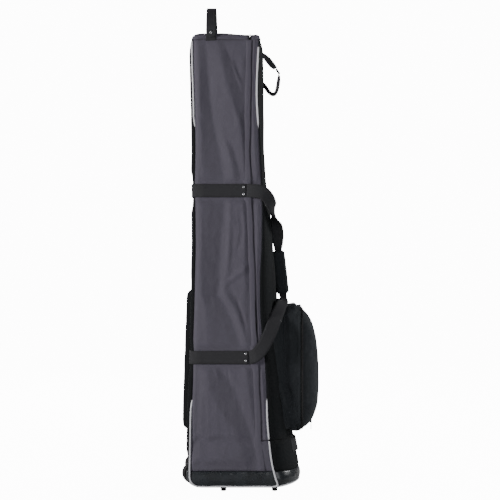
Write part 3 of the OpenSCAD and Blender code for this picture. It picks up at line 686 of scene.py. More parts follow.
# Facets: height, then places across it with how far each stands out. Folds: crest line, height and the width
# of both flanks. Rolls: heights, how they shift across, and where they fade. All in millimetres.
RIGHT_FACETS = (
    (1296, ((-150, 1.0), (-128, 0.2), (-100, 1.5), (-98, 1.6), (-92, 2.0), (-84, 0.8), (-40, 2.0))),
    (1236, ((-147, 5.0), (-124, -0.6), (-96, 5.6), (-94, 5.9), (-83, 8.6), (-52, 1.0), (-22, 3.4))),
    (1186, ((-147, 7.4), (-120, -2.0), (-92, 5.2), (-90, 5.4), (-71, 10.0), (-28, 0.8), (-15, 2.6))),
    (1129, ((-147, 8.0), (-115, -2.6), (-84, 4.6), (-82, 4.9), (-56, 10.4), (-18, 1.0), (-12, 1.6))),
    (1068, ((-145, 7.2), (-106, -3.2), (-82, 2.2), (-80, 2.5), (-32, 9.4), (-16, 1.6), (-11, 1.8))),
    (1023, ((-141, 6.2), (-98, -3.6), (-76, 2.8), (-72, 2.2), (-24, 8.6), (-11, 1.8), (-8, 1.8))),
    (969, ((-139, 5.2), (-84, -3.8), (-58, 4.6), (-45, 0.2), (-15, 6.6), (-7, 2.0), (-4, 1.8))),
    (905, ((-129, 4.2), (-76, -3.4), (-46, 4.2), (-26, -0.8), (-9, 4.2), (-3, 1.6), (-1, 1.5))),
    (837, ((-142, 5.0), (-75, -2.4), (-50, 3.2), (-45, 2.6), (-20, 5.2), (-10, 2.0), (-6, 1.8))),
    (770, ((-142, 8.2), (-80, -3.0), (-49, 4.6), (-42, 3.8), (-16, 6.6), (-8, 2.0), (-5, 1.8))),
    (727, ((-142, 8.6), (-83, -3.6), (-60, 2.4), (-50, 2.2), (-13, 7.4), (-6, 2.0), (-4, 1.8))),
    (640, ((-142, 8.6), (-86, -3.6), (-62, 3.4), (-52, 2.8), (-13, 7.6), (-5, 2.0), (-3, 1.8))),
    (600, ((-141, 8.0), (-87, -3.8), (-78, 0.8), (-62, -0.8), (-14, 6.0), (-5, 2.0), (-3, 1.8))),
    (565, ((-138, 7.4), (-92, -3.4), (-70, 5.4), (-50, 0.8), (-16, 4.6), (-5, 1.6), (-2, 1.8))),
    (531, ((-125, 6.4), (-68, -3.0), (-47, 6.4), (-30, 2.0), (-14, 4.0), (-5, 1.6), (-1, 1.8))),
    (483, ((-120, 6.4), (-48, -3.0), (-27, 6.2), (-17, 2.8), (-10, 3.4), (-4, 1.6), (0, 1.8))),
    (442, ((-118, 5.8), (-34, -2.6), (-14, 5.6), (-9, 3.4), (-6, 3.2), (-2, 1.6), (1, 1.8))),
    (412, ((-118, 4.2), (-26, -1.6), (-8, 4.6), (-5, 3.0), (-3, 2.8), (0, 1.6), (2, 1.8))),
    (363, ((-124, 4.6), (-86, -2.6), (-64, 1.4), (-54, 0.6), (-10, 4.6), (0, 1.8), (3, 1.8))),
    (331, ((-121, 7.2), (-69, -3.0), (-46, 2.0), (-38, 1.4), (-6, 5.4), (2, 1.8), (5, 1.8))),
    (295, ((-115, 7.8), (-46, -3.0), (-30, 1.0), (-26, 1.4), (-2, 5.0), (5, 1.8), (8, 1.8))),
    (260, ((-99, 7.8), (-32, -3.0), (-20, 0.2), (-16, 0.8), (2, 4.0), (8, 1.8), (11, 1.8))),
    (224, ((-76, 7.8), (-19, -2.4), (-10, 0.2), (-6, 0.8), (6, 3.4), (12, 1.8), (15, 1.8))),
    (171, ((-41, 7.0), (2, -1.8), (6, -0.4), (8, 0.2), (13, 2.4), (20, 1.8), (24, 1.8))),
    (117, ((-21, 6.0), (17, -1.2), (20, -0.6), (22, 0.2), (26, 1.8), (32, 1.8), (36, 1.8))),
    (66, ((-9, 3.0), (20, 0.0), (22, 0.2), (24, 0.4), (30, 1.0), (36, 1.0), (40, 1.0))))
RIGHT_FOLDS = (
    (((-48, 1222), (-36, 1190), (-24, 1160)), 2.6, 7, 6),
    (((-58, 842), (-61, 700), (-66, 640)), 1.8, 10, 12),
    (((-30, 800), (-22, 745), (-34, 690)), -2.0, 9, 12),
    (((-36, 545), (-22, 505), (-12, 470)), -2.4, 8, 7),
    (((-104, 366), (-96, 345), (-90, 325)), 1.6, 8, 8),
    (((-70, 366), (-62, 348), (-60, 330)), -1.8, 8, 7),
    (((-146, 366), (-150, 250), (-151, 150)), -1.8, 10, 14))
RIGHT_ROLLS = (((171, 3.0), (150, -3.0), (97, 4.6), (77, -0.6), (64, 1.6)),
               ((-165, -10), (-143, 4), (-122, -6), (-96, 2), (-50, 0), (0, -8)), (-40, 10))
RIGHT_DIAGONAL = ((-86, 586), (-48, 612), (-8, 642))
LEFT_FACETS = (
    (1296, ((-150, 1.0), (-130, 0.2), (-104, 1.5), (-96, 1.0), (-70, 2.0), (-40, 0.8), (-20, 2.0))),
    (1180, ((-146, 6.6), (-112, -2.0), (-84, 6.6), (-60, 0.6), (-42, 5.6), (-20, 0.6), (-14, 2.0))),
    (1040, ((-148, 7.4), (-104, -3.2), (-62, 8.6), (-42, 2.0), (-26, 4.4), (-12, 1.0), (-8, 2.0))),
    (905, ((-136, 5.4), (-90, -3.0), (-48, 6.6), (-34, 1.0), (-16, 4.4), (-6, 1.6), (-2, 1.5))),
    (837, ((-140, 5.0), (-96, -2.4), (-64, 3.6), (-50, 1.6), (-24, 5.2), (-12, 2.0), (-6, 1.8))),
    (700, ((-144, 7.4), (-74, -3.4), (-46, 5.4), (-36, 1.8), (-18, 5.6), (-8, 2.0), (-4, 1.8))),
    (560, ((-134, 7.0), (-92, -3.0), (-58, 6.4), (-40, 0.4), (-16, 4.6), (-5, 1.6), (-2, 1.8))),
    (442, ((-118, 5.6), (-62, -2.8), (-30, 5.4), (-18, 2.4), (-8, 3.4), (-2, 1.6), (1, 1.8))),
    (363, ((-126, 4.6), (-96, -2.2), (-54, 3.4), (-40, 0.6), (-10, 4.2), (0, 1.8), (3, 1.8))),
    (260, ((-110, 7.0), (-62, -3.0), (-30, 4.2), (-16, 0.8), (2, 4.0), (8, 1.8), (11, 1.8))),
    (150, ((-80, 6.2), (-24, -2.0), (-6, 2.2), (8, 0.2), (16, 2.4), (24, 1.8), (28, 1.8))),
    (66, ((-40, 3.0), (0, 0.0), (10, 0.8), (20, 0.4), (30, 1.0), (36, 1.0), (40, 1.0))))
LEFT_FOLDS = (
    (((-142, 1292), (-146, 1140), (-144, 885)), 3.6, 18, 26),
    (((-112, 1292), (-118, 1150), (-106, 885)), -4.4, 24, 30),
    (((-94, 1296), (-84, 1200), (-58, 1090), (-30, 960)), 7.5, 50, 20),
    (((-138, 842), (-132, 650), (-134, 410)), 4.4, 22, 40),
    (((-70, 842), (-84, 690), (-60, 560), (-30, 430)), -4.6, 34, 15),
    (((-48, 800), (-50, 640), (-20, 520)), 3.0, 18, 22),
    (((-120, 366), (-110, 240), (-116, 130)), 3.0, 30, 34),
    (((-70, 350), (-52, 230), (-66, 110)), -3.0, 30, 30))
FRONT_FOLDS = (
    (((-66, 1285), (-58, 1150), (-70, 960), (-54, 800)), 4.0, 34, 30),
    (((60, 1285), (48, 1120), (64, 930), (50, 790)), 4.4, 30, 36),
    (((-8, 1140), (-14, 1000), (4, 860)), -4.5, 34, 26),
    (((-112, 1240), (-118, 1000), (-104, 800)), -3.0, 18, 20),
    (((110, 1240), (118, 980), (106, 760)), -3.2, 20, 18),
    (((-92, 800), (-84, 680), (-100, 560)), 4.0, 24, 30),
    (((92, 790), (98, 660), (86, 560)), 3.6, 30, 24),
    (((-20, 700), (-12, 620), (-24, 550)), -3.0, 26, 22),
    (((34, 700), (40, 620), (30, 550)), 2.6, 20, 22))
BACK_FOLDS = (
    (((-70, 1280), (-60, 1100), (-76, 890)), 4.0, 40, 34),
    (((64, 1280), (76, 1090), (60, 890)), 4.2, 34, 40),
    (((0, 1260), (8, 1100), (-6, 900)), -3.6, 34, 34),
    (((-80, 836), (-66, 720), (-84, 600)), 3.6, 34, 30),
    (((76, 836), (88, 720), (70, 600)), 3.4, 30, 34),
    (((-4, 836), (6, 720), (0, 600)), -3.0, 40, 34))


def held(z, reach=0.05):
    """0 under the carrying bands, rising to 1 at reach from them."""
    free = 1.0
    for strap in STRAPS:
        free *= ease((abs(z - strap) - STRAP_HALF) / reach)
    return free


def facets(table, a, z):
    """Height of a slack wall at a place. Each level lists the crests and valleys across it, in millimetres; the
    cloth is drawn straight between them and turns softly over each."""
    a, z = a * 1000, z * 1000
    levels = [r[0] for r in table]
    k = next((i for i in range(1, len(table)) if z >= levels[i]), len(table) - 1)
    t = max(0.0, min(1.0, (levels[k - 1] - z) / (levels[k - 1] - levels[k])))
    rows = [(p[0] + (q[0] - p[0]) * t, p[1] + (q[1] - p[1]) * t) for p, q in zip(table[k - 1][1], table[k][1])]
    xs, hs = [-162] + [r[0] for r in rows], [0.5] + [r[1] for r in rows]
    return sum(np.interp(a + d, xs, hs) * w for d, w in ((-6, 1), (-3, 2), (0, 3), (3, 2), (6, 1))) / 9000


def rolls(table, a, z):
    """Soft rolls that lie across the foot of a slack wall and fade out towards one end."""
    heights, shift, fade = table
    a, z = a * 1000, z * 1000
    z -= np.interp(a, [p[0] for p in shift], [p[1] for p in shift])
    zs, hs = [h[0] for h in heights][::-1], [h[1] for h in heights][::-1]
    here = sum(np.interp(z + d, zs, hs, 0, 0) for d in (-4, 0, 4)) / 3
    return here * ease((fade[1] - a) / (fade[1] - fade[0])) / 1000


def across(line, a, z, height, width):
    """One crease that runs across a wall along a line of places in millimetres."""
    a, z = a * 1000, z * 1000
    crest = np.interp(a, [p[0] for p in line], [p[1] for p in line])
    fade = ease((a - line[0][0]) / 22) * ease((line[-1][0] + 10 - a) / 20)
    t = (z - crest) / width
    return height * fade * math.exp(-t * t) / 1000


def level(v, low_rows, rows):
    """Height of a row, with a row on the fold line."""
    split = low_rows / rows
    if v <= split:
        return BOOT_TOP + (HINGE - BOOT_TOP) * v / split
    return HINGE + (TOP_SEAM - HINGE) * (v - split) / (1 - split)


def side_wall(side, table):
    """One side, from the back seam to the zip, and below the fold line to the front edge."""
    s = sizes()
    columns, spare, rows, low = 62, 10, 250, 20

    def zip_edge(z):
        return zip_at(max(z, HINGE + 0.006)) - ZIP_HALF

    def place(u, v):
        z = level(v, low, rows)
        c = u * (columns + spare)
        x0, x1, x2 = at("seam", z), zip_edge(z), at("edge", z) - 0.0002
        x = x0 + (x1 - x0) * c / columns if c <= columns else x1 + (x2 - x1) * (c - columns) / spare
        last = x1 if z > HINGE else x2
        near = min(x - x0, last - x, (z - BOOT_TOP) * 0.9, (TOP_SEAM - z) * 0.9)
        full = pull(near, 0.02) * held(z, 0.022)
        relief = folds(table, x, z) + creases(Vector((x, side * 3, z)), s.crease)
        relief += creases(Vector((x, side * 7, z)), s.crease * 0.4, 0.8, 46)
        if side == NEAR:
            relief += facets(RIGHT_FACETS, x, z) + rolls(RIGHT_ROLLS, x, z) + across(RIGHT_DIAGONAL, x, z, 3.4, 9)
        else:
            relief += facets(LEFT_FACETS, x, z) + 0.6 * rolls(RIGHT_ROLLS, x + 0.03, z)
        return side_point(x, z, full * (s.bulge * 0.45 + relief) - 0.0006, side)

    def keep(u, v):
        return u * (columns + spare) < columns or level(v, low, rows) < HINGE

    return sheet_mesh(columns + spare, rows, place, keep=keep)


def flap_strip(side):
    """The flap's grey strip between the zip and the front piping."""
    s = sizes()

    def place(u, v):
        z = HINGE + 0.0002 + (TOP_SEAM - HINGE - 0.0002) * v
        x0, x1 = zip_at(z) + ZIP_HALF, at("edge", z)
        x = x0 + (x1 - x0) * u
        full = pull(min(x - x0, x1 - x), 0.011) * held(z, 0.03)
        t = (u - 0.46 - 0.1 * math.sin(z * 9)) * 6
        out = full * (0.0030 + 0.0016 * math.exp(-t * t) + creases(Vector((x, side * 5, z)), s.crease * 0.8, 0.3, 26))
        return side_point(x, z, out - 0.0004, side)

    return sheet_mesh(12, 222, place)


def wheel_gap(bm, half_extra=0.0006):
    """Cuts the two openings for the wheel housings into a sheet."""
    for node in ("wheel_housing_right", "wheel_housing_left"):
        low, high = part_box(node)
        low, high = low - Vector((1, half_extra, 1)), high + Vector((half_extra, half_extra, half_extra))
        for co, no in (((0, low.y, 0), (0, 1, 0)), ((0, high.y, 0), (0, 1, 0)), ((0, 0, high.z), (0, 0, 1)),
                       ((high.x, 0, 0), (1, 0, 0))):
            near = [f for f in bm.faces
                    if all(low[k] - 0.03 < f.calc_center_median()[k] < high[k] + 0.03 for k in range(3))]
            edges = {e for f in near for e in f.edges}
            verts = {v for f in near for v in f.verts}
            bmesh.ops.bisect_plane(bm, geom=list(verts) + list(edges) + near, dist=0.0003, plane_co=co, plane_no=no)
        inner = [f for f in bm.faces
                 if all(low[k] < f.calc_center_median()[k] < high[k] for k in range(3))]
        bmesh.ops.delete(bm, geom=inner, context="FACES")


def rear_wall():
    """The back, round both corners from seam to seam."""
    s = sizes()

    def place(u, v):
        z = BOOT_TOP + (TOP_SEAM - BOOT_TOP) * v
        turn = 2 * u - 1
        p = back_point(turn, z)
        near = min((1 - abs(turn)) * 0.17, (z - BOOT_TOP) * 0.9, (TOP_SEAM - z) * 0.9)
        pad = ease((abs(p.y) - 0.094) / 0.012) if 0.168 < z < 0.586 else 1.0
        low = ease((z - 0.1) / 0.03)
        full = pull(near, 0.022) * held(z) * pad * low
        out = full * (s.bulge * 0.75 + folds(BACK_FOLDS, p.y, z) + creases(Vector((p.y, 9, z)), s.crease))
        return back_point(turn, z, out - 0.0004)

    bm = sheet_mesh(72, 236, place)
    wheel_gap(bm)
    return bm


def front_wall(low, high, table, rows, bulge):
    """A piece of the rounded front between two heights; it isn't drawn in at the fold line."""
    s = sizes()

    def place(u, v):
        z = low + (high - low) * v
        turn = math.copysign(abs(2 * u - 1) ** 0.92, 2 * u - 1)
        p = front_point(turn, z)
        near = (1 - abs(turn)) * 0.2
        near = min(near, z - low) if low < HINGE - 0.01 else min(near, high - z)
        behind = 1.0
        if POUCH_LOW.z - 0.01 < z < POUCH_HIGH.z + 0.01:
            behind = ease((abs(p.y) - 0.104) / 0.03)
        full = pull(near, 0.024) * behind
        out = full * (bulge + folds(table, p.y, z) + creases(Vector((p.y, 21, z)), s.crease * 1.1))
        return front_point(turn, z, out - 0.0003)

    return sheet_mesh(76, rows, place)


def boot_ring(u, z, inset=0.0):
    """A place round the whole boot, by share of the way round, rounded in at the bottom."""
    if u < 0.36:
        p = front_point(u / 0.18 - 1, z)
    elif u < 0.5:
        p = side_point(at("edge", z) + (at("seam", z) - at("edge", z)) * (u - 0.36) / 0.14, z, 0.0, FAR)
    elif u < 0.86:
        p = back_point(1 - (u - 0.5) / 0.18, z)
    else:
        p = side_point(at("seam", z) + (at("edge", z) - at("seam", z)) * (u - 0.86) / 0.14, z, 0.0, NEAR)
    low, high, w = at("back", z), at("front", z), at("half", z)
    x = low + inset + (p.x - low) * (high - low - 2 * inset) / (high - low)
    return Vector((x, p.y * (1 - SIDE_SHARE * inset / w), z))


def boot_skin():
    """The coated boot with its rounded lower edge and flat underside."""
    def place(u, v):
        if v < 0.22:
            z, inset, inward = BOOT_TOP - (BOOT_TOP - BASE - BASE_ROUND) * v / 0.22, 0.0, 0.0
        elif v < 0.62:
            a = (v - 0.22) / 0.4 * math.pi / 2
            z, inset, inward = BASE + BASE_ROUND * (1 - math.sin(a)), BASE_ROUND * (1 - math.cos(a)), 0.0
        else:
            z, inset, inward = BASE, BASE_ROUND, (v - 0.62) / 0.38
        p = boot_ring(u % 1.0, z, inset)
        n = Vector((p.x + 0.02, p.y, 0)).normalized()
        puff = 0.0022 * pull(BOOT_TOP - z, 0.02) * (1 - inward)
        puff += 1.2 * creases(p, 0.0009, 1.0, 24) * ease((BOOT_TOP - z) / 0.01)
        spine = Vector((max(-0.11, min(0.05, p.x)), 0, BASE))
        return (p + n * puff * ease((z - BASE) / 0.02)).lerp(spine, inward)

    bm = sheet_mesh(220, 42, place, closed=True, inside=Vector((-0.03, 0, 0.08)))
    wheel_gap(bm)
    return bm


TOP_LEVEL = 1.29       # where the width of the top is read
TOP_ROUND = 0.013      # rounding of the top's edge, across and down
TOP_DROP = 0.014 * 0.98


def top_skin(x0, x1, rear_corner, rows, crown):
    """A piece of the top with its edge rounded down to the seam."""
    def half(x):
        over = x0 + CORNER - x if rear_corner else 0.0
        return at("half", TOP_LEVEL) - (CORNER - math.sqrt(max(0.0, CORNER ** 2 - max(0.0, over) ** 2)))

    def place(u, v):
        t = math.sin((2 * u - 1) * math.pi / 2)
        q = 1 - math.cos(v * math.pi / 2) if rear_corner else v
        x = x0 + (x1 - x0) * q
        w = half(x)
        y = t * w
        d = w - abs(y)
        end = x - x0 if rear_corner else x1 - x
        d = min(d, max(0.0, end))
        r = min(1.0, d / TOP_ROUND)
        z = TOP_SEAM + TOP_DROP * math.sqrt(1 - (1 - r) ** 2)
        soft = pull(d, 0.05)
        z += soft * (crown * (1 - (y / w) ** 2) + creases(Vector((x, y, 4)), 0.0011, 1.0, 18))
        puff = 0.0046 if rear_corner else 0.0022
        z += puff * math.exp(-((min(w - abs(y), 0.1) - 0.015) / 0.012) ** 2) * ease(end / 0.03) \
            * ease((x1 - x - 0.004) / 0.07 if rear_corner else (x - x0 - 0.002) / 0.012)
        return Vector((x, y, z))

    return sheet_mesh(64, rows, place, inside=Vector(((x0 + x1) / 2, 0, 1.2)))


def lined(bm, name, body, cloth, slot, nodes, thickness=None):
    """A cloth wall with its lining on the inside."""
    piece = finish_piece(bm, name, body, [cloth, "cloth_lining"], slot, nodes=nodes)
    return thicken(piece, thickness or sizes().wall, lined=True)


# ---- piping, zips and plackets --------------------------------------------------------------------------------
PIPE_GAP = 0.0028


def sunk(z):
    """1 where the piping is rolled under between the swollen walls."""
    return ease((1.075 - z) / 0.05) * ease((z - 0.235) / 0.05)


def pipe_at(x, z, side, sink=0.0072):
    """A place on a side's piping, drawn in where it is rolled under."""
    p = Vector((x, side * (at("half", z) - SIDE_SHARE * lean(z) + PIPE_GAP), z))
    return p - Vector((0, side * sink * sunk(z), 0))


def long_piping(side):
    """The cord down the back seam, round the lower corner, along the bottom and up the front seam."""
    back = []
    for z in np.arange(TOP_SEAM - 0.004, BASE + 0.034, -0.02):
        low = ease((0.25 - z) / 0.1)
        high = side_point(at("seam", z) - 0.0012, z, PIPE_GAP - 0.008 * sunk(z), side)
        back.append(high.lerp(pipe_at(at("seam", z) - 0.0025, z, side, 0.0125), low))
    corner = []
    for a in np.radians(np.arange(0, 91, 15)):
        z = BASE + BASE_ROUND - (BASE_ROUND - 0.004) * math.sin(a)
        corner.append(pipe_at(at("seam", z) - 0.0025 + 0.028 * (1 - math.cos(a)), z, side))
    bottom = [pipe_at(x, BASE + 0.004 + 0.0006 * math.sin(x * 60), side) for x in np.arange(-0.12, 0.065, 0.03)]
    front = [pipe_at(0.0765, BASE + 0.0055, side), pipe_at(0.0790, BASE + 0.013, side)]
    front += [pipe_at(at("edge", z), z, side) for z in np.arange(0.036, HINGE - 0.002, 0.016)]
    return tube(back + corner + bottom + front, sizes().piping / 2, step=0.008)


def toe_piping():
    """The cord round the front of the base, from one side's piping to the other's."""
    points = []
    for turn in np.linspace(-1, 1, 25):
        z = BASE + 0.0045 + 0.0085 * math.cos(turn * math.pi / 2)
        p = front_point(turn, z)
        inset = lean(z) * math.cos(turn * math.pi / 2) - PIPE_GAP * 0.5
        points.append(Vector((p.x - inset, p.y * (1 - (SIDE_SHARE * lean(z) - PIPE_GAP) / at("half", z)), z)))
    return tube(points, sizes().piping / 2, step=0.008)


def zip_path(offset):
    """The zip's line up the right side, over the top and down the left side, at an offset towards the front."""
    sides = []
    for side in (NEAR, FAR):
        up = [side_point(zip_at(z) + offset, z, 0.0, side) for z in np.arange(HINGE + 0.002, TOP_SEAM - 0.002, 0.02)]
        x = zip_at(TOP_SEAM) + offset
        w = at("half", TOP_LEVEL)
        for a in np.radians(np.arange(10, 90, 20)):
            up.append(Vector((x, side * (w - TOP_ROUND + TOP_ROUND * math.cos(a)), TOP_SEAM + 0.0145 * math.sin(a))))
        sides.append(up)
    middle = [Vector((x, y, TOP + 0.0022 - 0.0030 * (y / w) ** 2)) for y in np.arange(-0.12, 0.121, 0.02)]
    return sides[0] + middle + sides[1][::-1]


def outward(p):
    """The way a zip faces at a place: sideways on the sides and up on the top."""
    if p.z < TOP_SEAM - 0.001:
        return Vector((0, math.copysign(1, p.y), 0))
    over = max(0.0, abs(p.y) - at("half", TOP_LEVEL) + TOP_ROUND) / TOP_ROUND
    return Vector((0, math.copysign(over, p.y), 1)).normalized()


def strip(line, half_width, lift=0.0, across=4, ways=None):
    """A narrow tape along a line on the walls: it lies square to the way its place faces."""
    n = len(line)

    def place(u, v):
        i = min(int(round(v * (n - 1))), n - 1)
        t = (line[min(i + 1, n - 1)] - line[max(i - 1, 0)]).normalized()
        face = ways(line[i]) if ways else outward(line[i])
        d = t.cross(face).normalized()
        return line[i] + d * (2 * u - 1) * half_width + face * lift

    return sheet_mesh(across, n - 1, place)


def teeth(line, inward, pitch, phase, ways=None, size=(0.0030, 0.0016, 0.0021)):
    """A row of coil teeth along a line: each is a small rounded block that reaches inward from the tape."""
    bm = bmesh.new()
    spots = smooth_line(line, pitch / 2)[phase::2]
    for i, p in enumerate(spots[:-1]):
        t = (spots[i + 1] - p).normalized()
        face = ways(p) if ways else outward(p)
        d = face.cross(t).normalized() * inward
        turn = Matrix((d, t, face)).transposed().to_4x4()
        made = bmesh.ops.create_cube(bm, size=1.0, matrix=Matrix.Translation(p + face * 0.0006) @ turn
                                     @ Matrix.Diagonal((*size, 1)))
        for v in made["verts"]:
            q = v.co - p
            if q.dot(face) > 0.0009:
                v.co -= d * q.dot(d) * 0.35 + t * q.dot(t) * 0.3
    bmesh.ops.recalc_face_normals(bm, faces=bm.faces)
    return bm


def placket(side):
    """The folded welt over the zip, sewn behind it, and the fold that goes on down to the boot; on the left it
    stops short of the sliders."""
    reach = 0.0052 if side == NEAR else -0.0074
    gape = 0.0036 if side == NEAR else 0.0

    def place(u, v):
        z = BOOT_TOP + 0.001 + (TOP_SEAM - BOOT_TOP - 0.003) * v
        below = ease((HINGE + 0.004 - z) / 0.02)
        middle = zip_at(max(z, HINGE + 0.004)) + 0.13 * max(0.0, HINGE - z)
        open_here = math.exp(-((z - 0.497) / 0.05) ** 4)
        free = reach - gape * open_here - 0.0006 * math.sin(z * 47)
        x = middle - 0.0165 + (free + 0.0165) * u
        out = 0.0006 + 0.0030 * ease(u * 1.8) + 0.0006 * math.sin(u * math.pi) + 0.0012 * open_here * u
        out *= (0.4 + 0.6 * held(z, 0.016)) * (1 - 0.35 * below)
        return side_point(x, z, out, side)

    return sheet_mesh(9, 170, place)


# ---- the pouch ----------------------------------------------------------------------------------------------------
POUCH_Y, POUCH_ROUND = POUCH_HIGH.y, 0.045
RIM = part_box("pouch_lid")[0].x
# Gusset rows: x, lowest z and highest z. Lid rows: share of the way out from the middle, x, lowest z,
# highest z, half width and corner rounding.
GUSSET_ROWS = ((0.040, 0.172, 0.520), (0.123, 0.169, 0.534), (0.142, 0.171, 0.527))
LID_ROWS = ((1.0, 0.151, 0.174, 0.523, 0.115, 0.045), (0.955, 0.166, 0.183, 0.511, 0.110, 0.045),
            (0.87, 0.179, 0.195, 0.488, 0.101, 0.042), (0.70, 0.1905, 0.222, 0.440, 0.082, 0.036),
            (0.50, 0.1965, 0.242, 0.366, 0.058, 0.026), (0.0, 0.1990, 0.296, 0.300, 0.001, 0.0004))


def rounded(y, low, high, r, q):
    """A place round a rounded rectangle: q runs 0 to 4 from the middle of one corner to the next, up the right
    side, over the top, down the left side and back along the bottom."""
    r = min(r, y * 0.98, (high - low) * 0.49)
    k, f = int(q) % 4, q - int(q)
    straight = (high - low if k % 2 == 0 else 2 * y) - 2 * r
    arc = r * math.pi / 4
    d = f * (straight + 2 * arc)
    if d < arc:
        a, s = math.pi / 4 - d / r, 0.0
    elif d > arc + straight:
        a, s = -(d - arc - straight) / r, straight
    else:
        a, s = 0.0, d - arc
    along = r + s - math.sin(a) * r
    out = r * math.cos(a)
    if k == 0:
        return -y + r - out, low + along
    if k == 1:
        return -y + along, high - r + out
    if k == 2:
        return y - r + out, high - along
    return y - along, low + r - out


GUSSET_FOLDS = (
    (((60, 316), (78, 262), (101, 200)), -8.0, 8, 11),
    (((68, 322), (94, 268), (120, 214)), 6.5, 13, 13),
    (((82, 326), (112, 290), (130, 246)), -4.6, 8, 12),
    (((58, 296), (64, 240), (78, 196)), 4.5, 9, 9),
    (((116, 300), (126, 262), (134, 214)), 3.6, 9, 7),
    (((66, 500), (74, 420), (70, 350)), 3.0, 16, 12),
    (((112, 512), (118, 430), (114, 345)), 3.4, 12, 14))


def gusset_wall():
    """The pouch's side wall, from the flap to the zip, with its folds and the gather along the bottom."""
    front_x, deep = GUSSET_ROWS[-1][0], [r[0] for r in GUSSET_ROWS]

    def place(u, v):
        q = 4 * u
        x = GUSSET_ROWS[0][0] + (front_x - GUSSET_ROWS[0][0]) * v
        low, high = (float(np.interp(x, deep, [r[k] for r in GUSSET_ROWS])) for k in (1, 2))
        y, z = rounded(POUCH_Y, low, high, POUCH_ROUND, q % 4)
        n = Vector((0, abs(y / POUCH_Y) ** 6 * math.copysign(1, y),
                    abs((2 * z - low - high) / (high - low)) ** 6 * math.copysign(1, 2 * z - low - high)))
        n.normalize()
        on_side = abs(n.y)
        flare = 0.030 * on_side * on_side * (1 - pull(v, 0.42))
        wide = max(-0.98, min(0.98, (abs(y) + flare) / at("half", z)))
        start = front_point(math.asin(wide) * 2 / math.pi, z).x + 0.0012
        x = start + (front_x - start) * v
        full = pull(front_x - x, 0.016) * ease(v / 0.1)
        out = 0.0022 * full + flare
        out += full * on_side * folds(GUSSET_FOLDS, x, z)
        bottom = ease((0.212 - z) / 0.03)
        out += full * bottom * 0.0050 * (noise.noise(Vector((x * 70, y * 52, 3))) - 0.3)
        out += full * creases(Vector((x, y, z + 40)), 0.0014, 0.6, 24)
        out += full * creases(Vector((x, y, z + 9)), 0.0006, 0.9, 60)
        if on_side > 0.7:
            for d, deep_seam in ((x - 0.0945, 0.0012), (x - 0.1010, 0.0012)):
                out -= deep_seam * math.exp(-(d / 0.0013) ** 2) * ease((z - 0.316) / 0.008) * full
            out += 0.0009 * math.exp(-((x - 0.0978) / 0.002) ** 2) * ease((z - 0.316) / 0.008) * full
            out -= 0.0018 * math.exp(-((z - 0.313) / 0.0016) ** 2) * ease((x - 0.070) / 0.006)
            out += 0.0016 * ease((z - 0.306) / 0.004) * ease((0.336 - z) / 0.02) * full
        return Vector((x, y + n.y * out, z + n.z * out))

    return sheet_mesh(200, 60, place, closed=True, inside=Vector((0.1, 0, 0.35)))


def lid_skin(grow, cells=44):
    """The pouch's padded lid: a square net of faces drawn round into the lid's outline."""
    at_share = [r[0] for r in LID_ROWS][::-1]
    columns = [[r[k] for r in LID_ROWS][::-1] for k in range(1, 6)]

    def place(u, v):
        s, t = 2 * u - 1, 2 * v - 1
        share = max(abs(s), abs(t), 1e-6)
        s, t = s / share, t / share
        if s <= -1 + 1e-9:
            q = (t + 1) / 2
        elif t >= 1 - 1e-9:
            q = 1 + (s + 1) / 2
        elif s >= 1 - 1e-9:
            q = 2 + (1 - t) / 2
        else:
            q = 3 + (1 - s) / 2
        share = math.sin(share * math.pi / 2) ** 0.9
        x, low, high, y, r = (float(np.interp(share, at_share, c)) for c in columns)
        y, z = rounded(y - grow, low + grow, high - grow, r, q % 4)
        out = creases(Vector((x, y, z + 60)), 0.0012, 0.4, 20) * pull(1 - share, 0.25)
        return Vector((x + out - grow, y, z))

    return sheet_mesh(cells, cells, place, inside=Vector((0.1, 0, 0.35)))


def pouch_ring(x, q0=-1.03, q1=2.03, out=0.0, n=150):
    """A line round the pouch at one depth, open at the left edge where the lid is hinged."""
    k = (x - GUSSET_ROWS[-1][0]) / (RIM - GUSSET_ROWS[-1][0])
    low = GUSSET_ROWS[-1][1] + (LID_ROWS[0][2] - GUSSET_ROWS[-1][1]) * k
    high = GUSSET_ROWS[-1][2] + (LID_ROWS[0][3] - GUSSET_ROWS[-1][2]) * k
    line = []
    for q in np.linspace(q0, q1, n):
        y, z = rounded(POUCH_Y + out, low - out, high + out, POUCH_ROUND + out, q % 4)
        line.append(Vector((x, y, z)))
    return line


def pouch_way(p):
    """The way the pouch's zip faces at a place."""
    low, high = LID_ROWS[0][2], LID_ROWS[0][3]
    y = max(-POUCH_Y + POUCH_ROUND, min(POUCH_Y - POUCH_ROUND, p.y))
    z = max(low + POUCH_ROUND, min(high - POUCH_ROUND, p.z))
    return Vector((0, p.y - y, p.z - z)).normalized()


